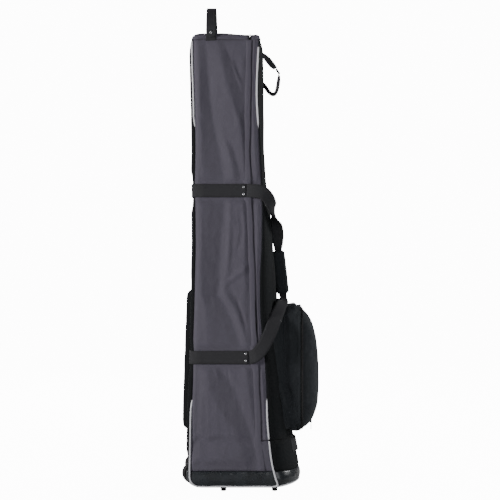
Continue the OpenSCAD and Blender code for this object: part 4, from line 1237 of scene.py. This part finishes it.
# ---- webbing -------------------------------------------------------------------------------------------------------
# Rows of a strap: x, y and z in millimetres, the direction across the strap, and its width in millimetres.
UP = (0, 0, 1)
HANDLE = (
    (-9.2, -154, 862, 0, 0, 1, 38), (0, -159, 862, 0, 0, 1, 38), (10, -163, 861, 0, 0, 1, 38),
    (28, -165, 859, 0.1, 0, 1, 38), (42, -163, 852, 0.4, 0.02, 0.92, 38), (54, -155, 838, 0.72, 0.1, 0.68, 36),
    (63, -143, 820, 0.75, 0.5, 0.35, 34), (69, -130, 804, 0.2, 0.95, 0.2, 32), (72, -118, 792, -0.15, 0.97, 0.25, 32),
    (76, -98, 774, -0.75, 0.65, 0.1, 34), (79, -72, 752, -0.98, 0.2, 0.0, 36), (81, -44, 730, -1, -0.35, 0, 36),
    (83, -22, 709, -1, -0.4, 0, 28),
    (83, -9, 692, -1, 0, 0, 21), (87.5, -8, 650, -1, 0, 0, 23),
    (91.5, -8, 610, -1, 0, 0, 23), (96.8, -8.5, 563, -1, 0, 0, 22), (98.5, -11, 553, -1, -0.2, 0, 20),
    (99, -30, 546, -1, -0.5, 0, 24), (97, -60, 543, -1, -0.3, 0.3, 30), (91, -94, 534, -1, -0.2, 0.6, 34),
    (81, -124, 514, -1, 0, 0.75, 36), (70, -147, 490, -1, 0, 0.72, 38), (56, -165, 455, -1, 0, 0.7, 38),
    (41, -172, 424, -0.85, 0, 0.8, 38), (27, -173, 403, -0.5, 0, 0.9, 38), (15, -172, 392, -0.2, 0, 1, 38),
    (4, -167, 387.4, 0, 0, 1, 38), (-2, -164.2, 386.4, 0, 0, 1, 38))
TIE_UPPER = ((32.4, -10, 1290, 0, 1, 0.1, 20), (33.6, -10, 1274, 0.1, 1, 0.2, 20),
             (42, -10.5, 1263, 0.45, 0.7, 0.5, 20), (52, -11, 1252, 0.6, 0.45, 0.6, 20),
             (64, -13, 1237, 0.6, 0.45, 0.6, 20), (75, -14.5, 1225, 0.45, 0.8, 0.4, 20))
TIE_TAIL = ((85.5, -16.5, 1206, 0.3, 1, 0, 18), (84, -17, 1190, 0.55, 0.85, 0, 18),
            (80, -18, 1166, 0.55, 0.85, -0.1, 18), (75, -18, 1153, 0.3, 0.85, -0.4, 18),
            (67, -17, 1149, 0.05, 0.85, -0.55, 18),
            (56, -14, 1156, -0.35, 0.85, -0.4, 18), (45, -12, 1172, -0.5, 0.85, -0.25, 18),
            (35.1, -10, 1190, 0, 1, 0, 18), (34.8, -10, 1206, 0, 1, 0, 18))


def rows_of(table, side=NEAR):
    """A table in millimetres as ribbon rows, mirrored for the left side."""
    flip = -side
    return [(Vector((r[0], r[1] * flip, r[2])) / 1000, (r[3], r[4] * flip, r[5]), r[6] / 1000) for r in table]


def band_rows(strap, ends, back, out):
    """Rows of a band sewn round the back between two places on the sides."""
    half, width = STRAP_HALF, 2 * STRAP_HALF
    rows = []
    slope = (at("back", strap + half) - at("back", strap - half)) / width
    for x in np.arange(ends, at("back", strap) + CORNER, -0.016):
        rows.append((side_point(x, strap, out, NEAR), UP, width))
    for s in back:
        rows.append((back_point(s, strap, out), (slope, 0, 1), width))
    return rows


# ---- operators -----------------------------------------------------------------------------------------------------
class COVER_OT_finishes(bpy.types.Operator):
    """Makes the cloths, coatings, plastics and metals"""

    bl_idname = "cover.finishes"
    bl_label = "Finishes"

    def execute(self, context):
        make_finishes()
        return {"FINISHED"}


class COVER_OT_side_walls(bpy.types.Operator):
    """Makes the two grey side panels with their folds"""

    bl_idname = "cover.side_walls"
    bl_label = "Side Walls"

    def execute(self, context):
        for side, word, table in ((NEAR, "right", RIGHT_FOLDS), (FAR, "left", LEFT_FOLDS)):
            lined(side_wall(side, table), f"side_cloth_{word}", "cover_body", "cloth_grey", "grey_fabric",
                  (f"side_panel_{word}",))
        return {"FINISHED"}


class COVER_OT_back_wall(bpy.types.Operator):
    """Makes the black back panel, open round the wheel housings"""

    bl_idname = "cover.back_wall"
    bl_label = "Back Wall"

    def execute(self, context):
        lined(rear_wall(), "back_cloth", "cover_body", "cloth_black", "black_fabric", ("back_panel",))
        return {"FINISHED"}


class COVER_OT_flap(bpy.types.Operator):
    """Makes the opening front: its black panel, grey strips and grey top"""

    bl_idname = "cover.flap"
    bl_label = "Front Flap"

    def execute(self, context):
        lined(front_wall(HINGE + 0.0002, TOP_SEAM, FRONT_FOLDS, 216, 0.0035), "flap_cloth", "front_flap",
              "cloth_black", "black_fabric", ("flap_front",))
        for side, word in SIDES:
            lined(flap_strip(side), f"flap_strip_{word}", "front_flap", "cloth_grey", "grey_fabric",
                  (f"flap_side_{word}",))
        low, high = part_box("flap_top")
        lined(top_skin(low.x, high.x, False, 8, 0.003), "flap_top_cloth", "front_flap", "cloth_grey", "grey_fabric",
              ("flap_top",), 0.003)
        return {"FINISHED"}


class COVER_OT_top_and_kick(bpy.types.Operator):
    """Makes the grey top and the black kick panel under the flap"""

    bl_idname = "cover.top_and_kick"
    bl_label = "Top and Kick Panel"

    def execute(self, context):
        low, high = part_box("top_panel")
        lined(top_skin(low.x, high.x - 0.0002, True, 40, 0.003), "top_cloth", "cover_body", "cloth_grey",
              "grey_fabric", ("top_panel",), 0.003)
        lined(front_wall(BOOT_TOP, HINGE - 0.0002, (), 24, 0.0035), "kick_cloth", "cover_body", "cloth_black",
              "black_fabric", ("kick_panel",))
        return {"FINISHED"}


class COVER_OT_boot(bpy.types.Operator):
    """Makes the coated boot round the base"""

    bl_idname = "cover.boot"
    bl_label = "Boot"

    def execute(self, context):
        lined(boot_skin(), "boot_skin", "cover_body", "coated_boot", "boot_leatherette", ("boot",), 0.003)
        return {"FINISHED"}


class COVER_OT_piping(bpy.types.Operator):
    """Makes the white piping in the long seams and round the toe of the base"""

    bl_idname = "cover.piping"
    bl_label = "Piping"

    def execute(self, context):
        for side, word in SIDES:
            finish_piece(long_piping(side), f"piping_cord_{word}", "cover_body", "piping_white", "piping_white",
                         nodes=(f"piping_{word}",))
            line = [pipe_at(at("edge", z), z, side) for z in np.arange(HINGE + 0.003, TOP_SEAM - 0.003, 0.02)]
            finish_piece(tube(line, sizes().piping / 2, step=0.008), f"flap_piping_cord_{word}", "front_flap",
                         "piping_white", "piping_white", nodes=("flap_piping",))
        finish_piece(toe_piping(), "toe_piping_cord", "cover_body", "piping_white", "piping_white")
        return {"FINISHED"}


class COVER_OT_zips(bpy.types.Operator):
    """Makes the main zip's tapes and teeth and the welt over it on each side"""

    bl_idname = "cover.zips"
    bl_label = "Main Zip"

    def execute(self, context):
        pitch = sizes().tooth
        for word, body, sign, phase in (("body", "cover_body", -1, 0), ("flap", "front_flap", 1, 1)):
            tape = smooth_line(zip_path(sign * 0.0058), 0.012)
            piece = finish_piece(strip(tape, 0.0042, -0.0016), f"main_zip_tape_{word}", body, "zip_tape", "zip_black",
                                 nodes=(f"zip_tape_{word}",))
            thicken(piece, 0.0009, 0.0)
            finish_piece(teeth(zip_path(sign * 0.0019), sign, pitch, phase), f"main_zip_teeth_{word}", body,
                         "zip_coil", "zip_black")
        guard = finish_piece(strip(smooth_line(zip_path(-0.004), 0.012), 0.0115, -0.0058), "main_zip_guard",
                             "cover_body", "cloth_lining", "black_fabric")
        thicken(guard, 0.001, 0.0)
        for side, word in SIDES:
            thicken(finish_piece(placket(side), f"zip_welt_{word}", "cover_body", "cloth_grey", "grey_fabric"),
                    0.0011, 1.0)
        return {"FINISHED"}


class COVER_OT_pouch(bpy.types.Operator):
    """Makes the shoe pouch: side wall, padded lid, zip and the cloth fold round it"""

    bl_idname = "cover.pouch"
    bl_label = "Pouch"

    def execute(self, context):
        # painted light: the pouch's wall, lid and zip fold wear the black cloth made lighter, standing in for light
        # where the body shades them
        wall = lined(gusset_wall(), "pouch_wall_cloth", "front_flap", "cloth_pouch", "black_fabric",
                     ("pouch_gusset",), 0.0028)
        settle(wall, lambda p: 1.0 if p.x > 0.1405 or p.x < front_point(0, 0.3).x - 0.03 else 0.35, 1.2, 8, 0.004)
        lid = lined(lid_skin(0.0008), "pouch_lid_cloth", "pouch_lid_body", "cloth_pouch", "black_fabric",
                    ("pouch_lid",), 0.0028)
        settle(lid, lambda p: 1.0 if p.x < RIM + 0.0012 else 0.0, 3.0, 14, 0.006, -0.004)
        fold = finish_piece(strip(pouch_ring(0.1418, -1.1, 2.1), 0.0042, 0.0016, ways=pouch_way), "pouch_zip_fold",
                            "front_flap", "cloth_pouch", "black_fabric")
        thicken(fold, 0.0013, 0.0)
        for word, body, x, sign, phase in (("wall", "front_flap", 0.1425, 1, 0),
                                           ("lid", "pouch_lid_body", 0.1505, -1, 1)):
            tape = pouch_ring(x)
            piece = finish_piece(strip(tape, 0.0031, 0.0001, ways=pouch_way), f"pouch_tape_{word}", body, "zip_tape",
                                 "zip_black", nodes=("pouch_zip_body" if sign > 0 else "pouch_zip_lid",))
            thicken(piece, 0.0009, 0.0)
            finish_piece(teeth(pouch_ring(0.1465 - sign * 0.0016), sign, 0.0028, phase, pouch_way,
                               (0.0024, 0.0014, 0.0018)), f"pouch_teeth_{word}", body, "zip_coil", "zip_black")
        return {"FINISHED"}


class COVER_OT_bands(bpy.types.Operator):
    """Makes the two carrying bands round the back, the foot handle and the inside straps"""

    bl_idname = "cover.bands"
    bl_label = "Carrying Bands"

    def web(self, name, rows, body, nodes, step=0.005, thick=None):
        piece = finish_piece(ribbon(rows, 6, step), name, body, "webbing", "webbing", nodes=nodes)
        return thicken(piece, thick or sizes().web, 0.0)

    def execute(self, context):
        thick = sizes().web
        out = 0.0005 + thick / 2
        rows = band_rows(STRAPS[0], -0.0102, np.linspace(-0.98, 0.98, 25), out)
        rows += [(Vector((p.x, -p.y, p.z)), d, w) for p, d, w in band_rows(STRAPS[0], -0.0102, (), out)[::-1]]
        self.web("carry_band_upper", rows, "cover_body", ("strap_upper",))
        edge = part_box("back_rub_pad")[1].y + 0.0012
        reach = edge / (at("half", STRAPS[1]) - CORNER + CORNER * math.pi / 3)
        rows = band_rows(STRAPS[1], -0.0042, np.linspace(-0.98, -reach, 7), out)
        self.web("carry_band_lower_right", rows, "cover_body", ("strap_lower",))
        rows = [(Vector((p.x, -p.y, p.z)), d, w) for p, d, w in rows]
        self.web("carry_band_lower_left", rows, "cover_body", ("strap_lower",))

        low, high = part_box("foot_handle")
        z, bow, rows = (low.z + high.z) / 2, 0.0062, []
        for y in np.linspace(low.y + 0.002, high.y - 0.002, 23):
            free = max(0.0, math.cos(y / 0.072 * math.pi / 2)) if abs(y) < 0.072 else 0.0
            turn = math.asin(y / at("half", z)) * 2 / math.pi
            rows.append((front_point(turn, z, 0.0030 + bow * free ** 0.8), (-0.2, 0, 1), high.z - low.z))
        self.web("foot_handle_web", rows, "cover_body", ("foot_handle",), 0.004)
        for node in ("inner_strap_upper", "inner_strap_lower"):
            low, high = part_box(node)
            x, z = (low.x + high.x) / 2, (low.z + high.z) / 2
            for side, word in SIDES:
                rows = [(Vector((x + 0.001 * math.sin(k * 1.7), side * y, z)), UP, 0.025)
                        for k, y in enumerate(np.linspace(0.103, 0.025, 9))]
                self.web(f"{node}_{word}", rows, "cover_body", (node,), 0.005, 0.0018)
        return {"FINISHED"}


WRAP_TILT, WRAP_LENGTH = math.radians(6.2), 0.1265


class COVER_OT_handles(bpy.types.Operator):
    """Makes the two carrying handles and the padded wrap that holds them"""

    bl_idname = "cover.handles"
    bl_label = "Carrying Handles"

    def execute(self, context):
        limit = at("half", STRAPS[1]) + 0.008
        for side, word in SIDES:
            def waves(u, s):
                return 0.0011 * math.sin(s * 31 + u * 2.2) * math.sin(s * math.pi) ** 0.5
            piece = finish_piece(ribbon(rows_of(HANDLE, side), 6, 0.005, waves), f"carry_handle_{word}",
                                 "cover_body", "webbing", "webbing", nodes=(f"handle_{word}",))
            mesh_thick(piece, sizes().web)
            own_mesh(piece)
        low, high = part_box("grip_wrap")
        tilt = Vector((math.sin(WRAP_TILT), 0, -math.cos(WRAP_TILT)))
        start, span = Vector((0.083, 0, high.z - 0.0018)), WRAP_LENGTH
        side_way = Vector((tilt.z, 0, -tilt.x)) * -1

        def ring(q, v, grow):
            y, x = rounded(0.018 + grow, -0.0165 - grow, 0.0165 + grow, 0.009, q % 4)
            puff = 0.0011 * math.sin(v * math.pi) ** 0.5 + 0.0006 * noise.noise(Vector((q * 2, v * 5, 1)))
            end = 0.0016 * (1 - pull(min(v, 1 - v), 0.03))
            n = Vector((x / 0.0165, y / 0.018)).normalized()
            out = puff - end
            return start + tilt * span * v + side_way * (x + n.x * out) + Vector((0, y + n.y * out, 0))

        # painted light: the wrap and its flap wear the black cloth made lighter, standing in for light where the body
        # shades them
        wrap = finish_piece(sheet_mesh(64, 34, lambda u, v: ring(4 * u, v, -0.0013), closed=True,
                                       inside=start + tilt * span / 2), "grip_wrap_pad", "cover_body",
                            ["cloth_pouch", "cloth_lining"], "black_fabric", nodes=("grip_wrap",))
        settle(wrap, lambda p: 0.0 if low.z + 0.008 < p.z < high.z - 0.008 else 1.0, 2.0, 8, 0.0012)
        mesh_thick(wrap, 0.0032, -1.0)
        cover = finish_piece(sheet_mesh(40, 34, lambda u, v: ring(3.72 + 2.35 * u, 0.03 + 0.94 * v, 0.0),
                                        inside=start + tilt * span / 2), "grip_wrap_flap", "cover_body",
                             "cloth_pouch", "black_fabric")
        mesh_thick(cover, 0.0012, 1.0)
        for piece in (wrap, cover):
            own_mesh(piece)
        return {"FINISHED"}


def round_end(piece, x, pivot, way, reach=0.0138):
    """Rounds the end of a strap past the pivot: way is 1 for the end above it and -1 for the one below."""
    for v in piece.data.vertices:
        d = v.co.z - pivot
        if d * way > 0:
            v.co.x = x + (v.co.x - x) * (0.25 + 0.75 * math.sqrt(max(0.0, 1 - (d / reach) ** 2)))


class COVER_OT_top_handle(bpy.types.Operator):
    """Makes the padded top handle and the tabs that carry it"""

    bl_idname = "cover.top_handle"
    bl_label = "Top Handle"

    def execute(self, context):
        low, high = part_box("top_handle_strap")
        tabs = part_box("top_handle_tabs")
        x, wide = (low.x + high.x) / 2, high.x - low.x
        pivot = TOP + 0.005
        y_end = high.y - 0.0018
        rise = high.z - 0.0018 - pivot - 0.018
        rows = [(Vector((x, -y_end, pivot + z)), (1, 0, 0), wide) for z in (-0.0135, 0.002, 0.015)]
        for a in np.radians(np.arange(180, -1, -10)):
            c = math.cos(a)
            rows.append((Vector((x, y_end * c * (1 if abs(c) > 0.99 else 0.97), pivot + 0.018 + rise * math.sin(a))),
                         (1, 0, 0), wide * (1 - 0.05 * math.sin(a))))
        rows += [(Vector((x, y_end, pivot + z)), (1, 0, 0), wide) for z in (0.015, 0.002, -0.0135)]
        bm = ribbon(rows, 10, 0.004)
        piece = finish_piece(bm, "top_handle_web", "top_handle", "webbing", "webbing", nodes=("top_handle_strap",))
        mesh_thick(piece, 0.0030, 0.0)
        round_end(piece, x, pivot, -1)
        for side, word in SIDES:
            y = side * (tabs[1].y - 0.0013)
            rows = [(Vector((x, y - side * 0.0004 * k, z)), (1, 0, 0), wide) for k, z in
                    enumerate((pivot + 0.0125, pivot + 0.002, TOP - 0.008, TOP - 0.0195))]
            tab = finish_piece(ribbon(rows, 10, 0.003), f"top_handle_tab_{word}", "cover_body", "webbing", "webbing",
                               nodes=("top_handle_tabs",))
            mesh_thick(tab, 0.0022, 0.0)
            round_end(tab, x, pivot, 1)
        return {"FINISHED"}


class COVER_OT_tie(bpy.types.Operator):
    """Makes the tie strap near the top of the flap and its buckle"""

    bl_idname = "cover.tie"
    bl_label = "Tie Strap"

    def execute(self, context):
        for name, table in (("tie_strap_upper", TIE_UPPER), ("tie_strap_tail", TIE_TAIL)):
            piece = finish_piece(ribbon(rows_of(table), 6, 0.004), name, "front_flap", "webbing", "webbing",
                                 nodes=("tie_strap",))
            mesh_thick(piece, 0.0016)
        softened("tie_buckle", "buckle_black", "buckle_black", 0.0009, 3)
        return {"FINISHED"}


class COVER_OT_rub_pad(bpy.types.Operator):
    """Makes the foam pad down the back, with its sewn channels"""

    bl_idname = "cover.rub_pad"
    bl_label = "Rub Pad"

    def execute(self, context):
        low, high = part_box("back_rub_pad")
        thick = at("back", 0.38) - low.x + 0.001

        def place(u, v):
            y, z = low.y + (high.y - low.y) * u, low.z + (high.z - low.z) * v
            near = min(y - low.y, high.y - y, z - low.z, high.z - z)
            full = pull(near, 0.024)
            channel = min(abs(y - c) for c in (-0.034, 0.034))
            full *= 1 - 0.45 * math.exp(-(channel / 0.0045) ** 2) * pull(near, 0.03)
            out = (thick + 0.0004) * full + creases(Vector((y, 33, z)), 0.0009, 1.0, 26) * full
            return Vector((at("back", z) - 0.0002 - out, y, z))

        pad = finish_piece(sheet_mesh(60, 120, place), "rub_pad", "cover_body", "cloth_black", "black_fabric",
                           nodes=("back_rub_pad",))
        settle(pad, lambda p: 1.0 if at("back", p.z) - p.x < 0.0035 else 0.0, 1.5, 8, 0.002)
        return {"FINISHED"}


class COVER_OT_lining(bpy.types.Operator):
    """Makes the quilted hood padding and finishes the boards and inside buckles"""

    bl_idname = "cover.lining"
    bl_label = "Inside"

    def execute(self, context):
        low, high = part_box("hood_padding")

        def place(u, v):
            z = low.z + 0.002 + (high.z - 0.006 - low.z) * v
            run_x = at("back", z) + CORNER
            front = zip_at(min(z, TOP_SEAM)) - 0.016
            inset = 0.0088
            if u < 0.3:
                p = side_point(front + (run_x - front) * u / 0.3, z, -inset, NEAR)
            elif u > 0.7:
                p = side_point(front + (run_x - front) * (1 - u) / 0.3, z, -inset, FAR)
            else:
                p = back_point(-0.88 + 1.76 * (u - 0.3) / 0.4, z, -inset)
            quilt = abs(math.sin((u * 24 + v * 9) * math.pi / 2) * math.sin((u * 24 - v * 9) * math.pi / 2)) ** 0.5
            n = Vector((-0.07 - p.x, -p.y, 0)).normalized()
            return p + n * 0.0042 * quilt

        pad = finish_piece(sheet_mesh(150, 70, place), "hood_lining_pad", "cover_body", "cloth_lining",
                           "foam_lining", nodes=("hood_padding",))
        pad.data.flip_normals()
        mesh_thick(pad, 0.004, -1.0)
        softened("base_board", "board_black", "board_black", 0.0008)
        softened("back_stay_board", "board_black", "board_black", 0.0006)
        softened("inner_buckles", "buckle_black", "buckle_black", 0.001, 3)
        return {"FINISHED"}


class COVER_OT_rolling_gear(bpy.types.Operator):
    """Finishes the wheels, axles, housings, feet and screws"""

    bl_idname = "cover.rolling_gear"
    bl_label = "Rolling Gear"

    def execute(self, context):
        for word in ("right", "left"):
            softened(f"wheel_housing_{word}", "moulded_black", "housing_black", 0.0012, 2)
            for part, material in (("tyre", "tyre_rubber"), ("wheel_core", "core_plastic"),
                                   ("bearings", "zinc_steel"), ("axle", "zinc_steel")):
                wear(f"{part}_{word}", material)
        for node, material in (("feet", "rubber_black"), ("foot_screws", "zinc_steel"),
                               ("housing_screws", "zinc_steel"), ("axle_nuts", "zinc_steel")):
            wear(node, material)
        return {"FINISHED"}


class COVER_OT_fittings(bpy.types.Operator):
    """Finishes the rivets, zip sliders and pulls"""

    bl_idname = "cover.fittings"
    bl_label = "Fittings"

    def execute(self, context):
        for nodes, material, slot, width, segments in (
                (("strap_rivets",), "nickel", "rivet_nickel", 0.0008, 3),
                (("top_handle_rivets",), "nickel", "rivet_nickel", 0.0006, 3),
                (("slider_lower", "slider_upper", "pouch_slider", "pocket_ear"),
                 "gunmetal", "slider_gunmetal", 0.0004, 2),
                (("slider_pull_lower", "slider_pull_upper", "pouch_pull"), "rubber_black", "pull_black", 0.0004, 2),
                (("pocket_pull",), "gunmetal", "slider_gunmetal", 0.0004, 2)):
            for node in nodes:
                softened(node, material, slot, width, segments)
        return {"FINISHED"}


def grown_edge(bm, edges, step):
    """Extrudes edges by a step, and gives the new edges."""
    grown = bmesh.ops.extrude_edge_only(bm, edges=edges)["geom"]
    bmesh.ops.translate(bm, vec=step, verts=[g for g in grown if isinstance(g, bmesh.types.BMVert)])
    return [g for g in grown if isinstance(g, bmesh.types.BMEdge)]


PALE, AMBIENT = 13.0, 0.07      # how bright the backdrop looks, and how much light it gives
VIEW_ANGLE = math.radians(16.7)


class COVER_OT_stage(bpy.types.Operator):
    """Makes the pale floor, the soft lights and the camera"""

    bl_idname = "cover.stage"
    bl_label = "Stage"

    def execute(self, context):
        bm = bmesh.new()
        bmesh.ops.create_grid(bm, x_segments=1, y_segments=1, size=9.0)
        far = [e for e in bm.edges if all(v.co.y > 8 for v in e.verts)]
        for k in range(10):
            a = math.pi / 20 * (k + 0.5)
            far = grown_edge(bm, far, Vector((0, math.cos(a), math.sin(a))) * 0.6)
        grown_edge(bm, far, (0, 0, 9))
        mesh = bpy.data.meshes.new("floor")
        bm.to_mesh(mesh)
        bm.free()
        mesh.shade_smooth()
        floor = bpy.data.objects.new("floor", mesh)
        bpy.context.collection.objects.link(floor)
        f = Finish("floor", (0.55, 0.55, 0.55), 0.9, Specular_IOR_Level=0.1)
        path = f.add("LightPath", "Is Camera Ray")
        f.shader.inputs["Emission Color"].default_value = (1, 1, 1, 1)
        f.put(f.shader.inputs["Emission Strength"], f.math("MULTIPLY", path, PALE))
        mesh.materials.append(f.material)

        world = bpy.data.worlds.new("studio")
        context.scene.world = world
        world.use_nodes = True
        world.node_tree.nodes["Background"].inputs["Color"].default_value = (0.93, 0.96, 1.0, 1)
        sky = world.node_tree.nodes["Background"].inputs["Strength"]
        seen = world.node_tree.nodes.new("ShaderNodeLightPath").outputs["Is Camera Ray"]
        level = world.node_tree.nodes.new("ShaderNodeMapRange")
        level.inputs["To Min"].default_value, level.inputs["To Max"].default_value = AMBIENT, PALE
        world.node_tree.links.new(seen, level.inputs["Value"])
        world.node_tree.links.new(level.outputs[0], sky)
        for name, place, aim, size, power, tint in (
                ("key", (-4.1, -2.7, 1.7), (0, 0, 0.70), 0.9, 168, (1.0, 0.985, 0.97)),
                ("fill", (1.9, -4.5, 1.2), (0, 0, 0.5), 2.4, 44, (0.96, 0.97, 1.0)),
                ("back", (-1.4, 3.8, 2.4), (0, 0, 0.8), 1.6, 110, (1.0, 1.0, 1.0)),
                ("front", (4.2, 1.4, 2.4), (0, 0, 0.7), 1.6, 110, (1.0, 1.0, 1.0))):
            lamp = bpy.data.lights.new(name, "AREA")
            lamp.size, lamp.energy, lamp.color = size, power, tint
            holder = bpy.data.objects.new(name, lamp)
            holder.location = place
            holder.rotation_euler = (Vector(aim) - Vector(place)).to_track_quat("-Z", "Y").to_euler()
            bpy.context.collection.objects.link(holder)
        data = bpy.data.cameras.new("camera")
        data.sensor_width = 36.0
        data.lens = data.sensor_width / (2 * math.tan(VIEW_ANGLE / 2))
        camera = bpy.data.objects.new("camera", data)
        camera.location = (0.0, -5.016, 0.6925)
        camera.rotation_euler = (math.pi / 2, 0, 0)
        bpy.context.collection.objects.link(camera)
        context.scene.camera = camera
        return {"FINISHED"}


STEPS = (COVER_OT_finishes, COVER_OT_side_walls, COVER_OT_back_wall, COVER_OT_flap, COVER_OT_top_and_kick,
         COVER_OT_boot, COVER_OT_piping, COVER_OT_zips, COVER_OT_pouch, COVER_OT_bands, COVER_OT_handles,
         COVER_OT_top_handle, COVER_OT_tie, COVER_OT_rub_pad, COVER_OT_lining, COVER_OT_rolling_gear,
         COVER_OT_fittings, COVER_OT_stage)


class COVER_PT_panel(bpy.types.Panel):
    """Lists the cover's sizes, colours and pieces"""

    bl_idname = "COVER_PT_panel"
    bl_label = "Travel Cover"
    bl_space_type = "VIEW_3D"
    bl_region_type = "UI"
    bl_category = "Travel Cover"

    def draw(self, context):
        for group in (context.scene.cover_sizes, context.scene.cover_colours):
            box = self.layout.box()
            for key in group.bl_rna.properties.keys():
                if key not in ("rna_type", "name"):
                    box.prop(group, key)
        for step in STEPS:
            self.layout.operator(step.bl_idname)


CLASSES = (CoverSizes, CoverColours, *STEPS, COVER_PT_panel)


def register():
    for cls in CLASSES:
        bpy.utils.register_class(cls)
    bpy.types.Scene.cover_sizes = PointerProperty(type=CoverSizes)
    bpy.types.Scene.cover_colours = PointerProperty(type=CoverColours)


def unregister():
    del bpy.types.Scene.cover_sizes
    del bpy.types.Scene.cover_colours
    for cls in reversed(CLASSES):
        bpy.utils.unregister_class(cls)


def main():
    register()
    for step in STEPS:
        group, name = step.bl_idname.split(".")
        getattr(getattr(bpy.ops, group), name)()


if __name__ == "__main__":
    main()
